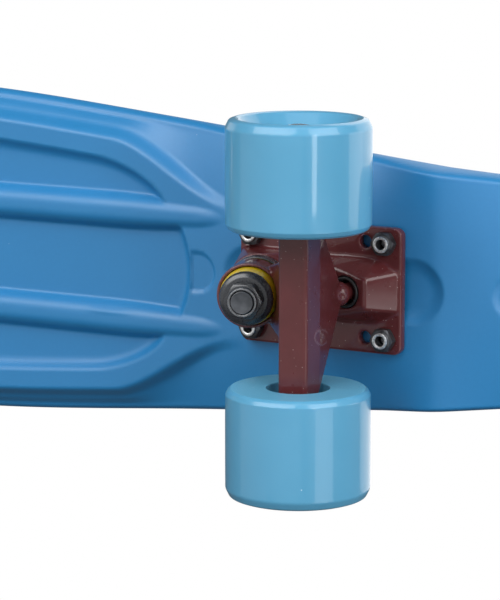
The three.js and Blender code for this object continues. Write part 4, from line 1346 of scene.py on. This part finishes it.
def pipPattern():
    tree, sockets, into = newPattern("grip_pips", pipSizes)

    def sums(operation, *values):
        return mathNode(tree, operation, *values)

    pitch = into["Pitch"]
    columns = sums("ADD", sums("FLOOR", sums("DIVIDE", into["Length"], pitch)), 1)
    rows = sums("ADD", sums("FLOOR", sums("DIVIDE", into["Width"], pitch)), 1)
    grid = wired(tree, "GeometryNodeMeshGrid", {
        "Size X": sums("MULTIPLY", sums("SUBTRACT", columns, 1), pitch),
        "Size Y": sums("MULTIPLY", sums("SUBTRACT", rows, 1), pitch),
        "Vertices X": columns,
        "Vertices Y": rows,
    })

    # every other row moves half a pitch, and all start above the deck
    position = wired(tree, "GeometryNodeInputPosition").outputs["Position"]
    split = wired(tree, "ShaderNodeSeparateXYZ", {"Vector": position}).outputs
    odd = sums("MULTIPLY", sums("PINGPONG", sums("ROUND", sums("DIVIDE", split["X"], pitch)), 1), pitch)
    shifted = sums("ADD", split["Y"], sums("MULTIPLY", odd, 0.5))
    start = wired(tree, "ShaderNodeCombineXYZ", {"X": split["X"], "Y": shifted, "Z": 0.3})
    inputs = {"Geometry": grid.outputs["Mesh"], "Position": start.outputs["Vector"]}
    lift = wired(tree, "GeometryNodeSetPosition", inputs)

    # they land on the top's flatter part, and the rest go
    inputs = {"Target Geometry": into["Geometry"], "Ray Direction": (0, 0, -1), "Ray Length": 0.25}
    ray = wired(tree, "GeometryNodeRaycast", inputs).outputs
    up = wired(tree, "ShaderNodeSeparateXYZ", {"Vector": ray["Hit Normal"]}).outputs["Z"]
    flat = sums("GREATER_THAN", up, pipLook["flattest"])
    keep = wired(tree, "FunctionNodeBooleanMath", {0: ray["Is Hit"], 1: flat}, operation="AND")
    drop = wired(tree, "FunctionNodeBooleanMath", {0: keep.outputs["Boolean"]}, operation="NOT")
    land = tree.nodes.new("GeometryNodeCaptureAttribute")
    for name, value in (("spot", ray["Hit Position"]), ("lean", ray["Hit Normal"])):
        land.capture_items.new("VECTOR", name)
        tree.links.new(value, land.inputs[name])
    tree.links.new(lift.outputs["Geometry"], land.inputs["Geometry"])
    inputs = {"Geometry": land.outputs["Geometry"], "Selection": drop.outputs["Boolean"]}
    left = wired(tree, "GeometryNodeDeleteGeometry", inputs).outputs["Geometry"]
    settle = wired(tree, "GeometryNodeSetPosition", {"Geometry": left, "Position": land.outputs["spot"]})

    # one pip, half sunk
    cone = wired(tree, "GeometryNodeMeshCone", {
        "Vertices": pipLook["sides"],
        "Side Segments": 1,
        "Radius Top": sums("MULTIPLY", into["Radius"], pipLook["topShare"]),
        "Radius Bottom": into["Radius"],
        "Depth": sums("MULTIPLY", into["Height"], 2),
    })
    sink = wired(tree, "ShaderNodeCombineXYZ", {"Z": sums("MULTIPLY", into["Height"], -1)})
    inputs = {"Geometry": cone.outputs["Mesh"], "Translation": sink.outputs["Vector"]}
    pip = wired(tree, "GeometryNodeTransform", inputs).outputs["Geometry"]
    align = wired(tree, "FunctionNodeAlignRotationToVector", {"Vector": land.outputs["lean"]}, axis="Z")
    inputs = {"Points": settle.outputs["Geometry"], "Instance": pip, "Rotation": align.outputs["Rotation"]}
    closePattern(tree, wired(tree, "GeometryNodeInstanceOnPoints", inputs), into["Material"])
    return tree, sockets


def buildPips():
    result = patterned("grip_pips", deckShell.data.copy(), *pipPattern(), pipSizes, deckPlastic[0])
    shadeSmooth(result)
    result.set_sharp_from_angle(angle=math.radians(30))
    return makePiece("grip_pips", result, deckPlastic, "board", [])


pips = buildPips()
print("pips done", len(pips.data.polygons))


# Camera, from the photo's view of the rear truck, below the board and towards the tail.

cameraSizes = {
    "yaw": 0.5008,
    "pitch": 0.1763,
    "distance": 1196.85,
    "focal": 2821.84,  # in the photo's pixels
    "photoHeight": 600,
    "sensor": 36,
    "aimX": -119.1,
    "aimY": -4.03,
    "aimDepth": 30,
}


# Right, up and out of the underside, as the photo shows the board.
def boardVector(u, v, w):
    return Vector((-u, v, -w))


def buildCamera():
    c = cameraSizes
    level = math.cos(c["pitch"])
    toCamera = boardVector(math.sin(c["yaw"]) * level, math.sin(c["pitch"]), math.cos(c["yaw"]) * level)
    right = boardVector(0, 1, 0).cross(toCamera).normalized()
    up = toCamera.cross(right)
    aim = Vector((c["aimX"], c["aimY"], padZ - c["aimDepth"]))
    data = bpy.data.cameras.new("camera")
    data.sensor_width = c["sensor"]
    data.lens = c["focal"] * c["sensor"] / c["photoHeight"]
    data.clip_start = 0.05
    data.clip_end = 30
    camera = addObject("camera", data)
    place = Matrix((right, up, toCamera)).transposed().to_4x4()
    place.translation = (aim + toCamera * c["distance"]) * mm
    camera.matrix_world = place
    bpy.context.scene.camera = camera
    return aim * mm


aim = buildCamera()


# Turns run from the underside's normal towards the tail, and lifts along the axle, up in the photo.
def studio(turnDegrees, lift):
    turn = math.radians(turnDegrees)
    return boardVector(math.sin(turn), lift, math.cos(turn)).normalized()


# Turn and lift from the aim, distance, width and height in metres, and radiance.
lampSizes = {
    "strip": (52, 0.2, 1.55, 0.2, 1.05, 6.8),
    "rightLow": (69, -0.42, 1.6, 0.8, 0.75, 2.0),
    "rightBack": (126, 0.08, 1.5, 0.85, 0.7, 2.0),
    "keyRight": (74, 0.64, 1.8, 1.3, 1.2, 3.7),
    "keyLeft": (-18, 0.78, 1.8, 2.0, 1.1, 3.9),
    "top": (10, 2.4, 1.6, 1.2, 1.0, 1.2),
    "frontLeft": (-47, -0.02, 2.2, 2.2, 1.5, 0.5),
    "frontRight": (7, 0.02, 2.2, 2.2, 1.5, 0.5),
    "farLeft": (-108, 0.1, 1.7, 0.9, 0.9, 0.8),
    "above": (172, 0.25, 2.1, 2.6, 2.6, 1.3),
}
for name, (turn, lift, distance, width, height, radiance) in lampSizes.items():
    panel = bpy.data.lights.new(name, "AREA")
    panel.shape = "RECTANGLE"
    panel.size = width
    panel.size_y = height
    panel.energy = radiance * math.pi * width * height
    direction = studio(turn, lift)
    across = Vector((0, 1, 0)).cross(direction).normalized()
    facing = Matrix((across, direction.cross(across), direction)).transposed().to_4x4()
    addObject(name, panel).matrix_world = Matrix.Translation(aim + direction * distance) @ facing


# Mixes two shaders for the camera's rays, and sends them to the output.
def mixForCamera(tree, factor, first, second, output):
    mix = wired(tree, "ShaderNodeMixShader", {0: factor, 1: first.outputs[0], 2: second.outputs[0]})
    wired(tree, output, {"Surface": mix.outputs[0]})


def buildWorld():
    world = bpy.data.worlds.new("studio")
    bpy.context.scene.world = world
    world.use_nodes = True
    tree = world.node_tree
    tree.nodes.clear()
    dim = wired(tree, "ShaderNodeBackground", {"Color": (0.97, 0.98, 1.0), "Strength": 0.11})
    white = wired(tree, "ShaderNodeBackground", {"Color": (1, 1, 1), "Strength": 1})
    toCamera = wired(tree, "ShaderNodeLightPath").outputs["Is Camera Ray"]
    mixForCamera(tree, toCamera, dim, white, "ShaderNodeOutputWorld")


buildWorld()


# The floor shows only to a camera above it, so that the view from below sees the board.
def buildFloor(half=3000):
    corners = [(x * half, y * half, 0) for x, y in ((-1, -1), (1, -1), (1, 1), (-1, 1))]
    mesh = makeMesh("floor", corners, [(0, 1, 2, 3)])
    if mesh.polygons[0].normal.z < 0:
        mesh.flip_normals()
    floor = addObject("floor", mesh)
    material = bpy.data.materials.new("floor")
    material.use_nodes = True
    tree = material.node_tree
    tree.nodes.clear()
    front = mathNode(tree, "SUBTRACT", 1, wired(tree, "ShaderNodeNewGeometry").outputs["Backfacing"])
    shown = mathNode(tree, "MULTIPLY", front, wired(tree, "ShaderNodeLightPath").outputs["Is Camera Ray"])
    clear = wired(tree, "ShaderNodeBsdfTransparent")
    pale = wired(tree, "ShaderNodeBsdfDiffuse", {"Color": (0.86, 0.86, 0.86)})
    mixForCamera(tree, shown, clear, pale, "ShaderNodeOutputMaterial")
    mesh.materials.append(material)


buildFloor()
bpy.context.scene.view_settings.view_transform = "Standard"
print("stage done")
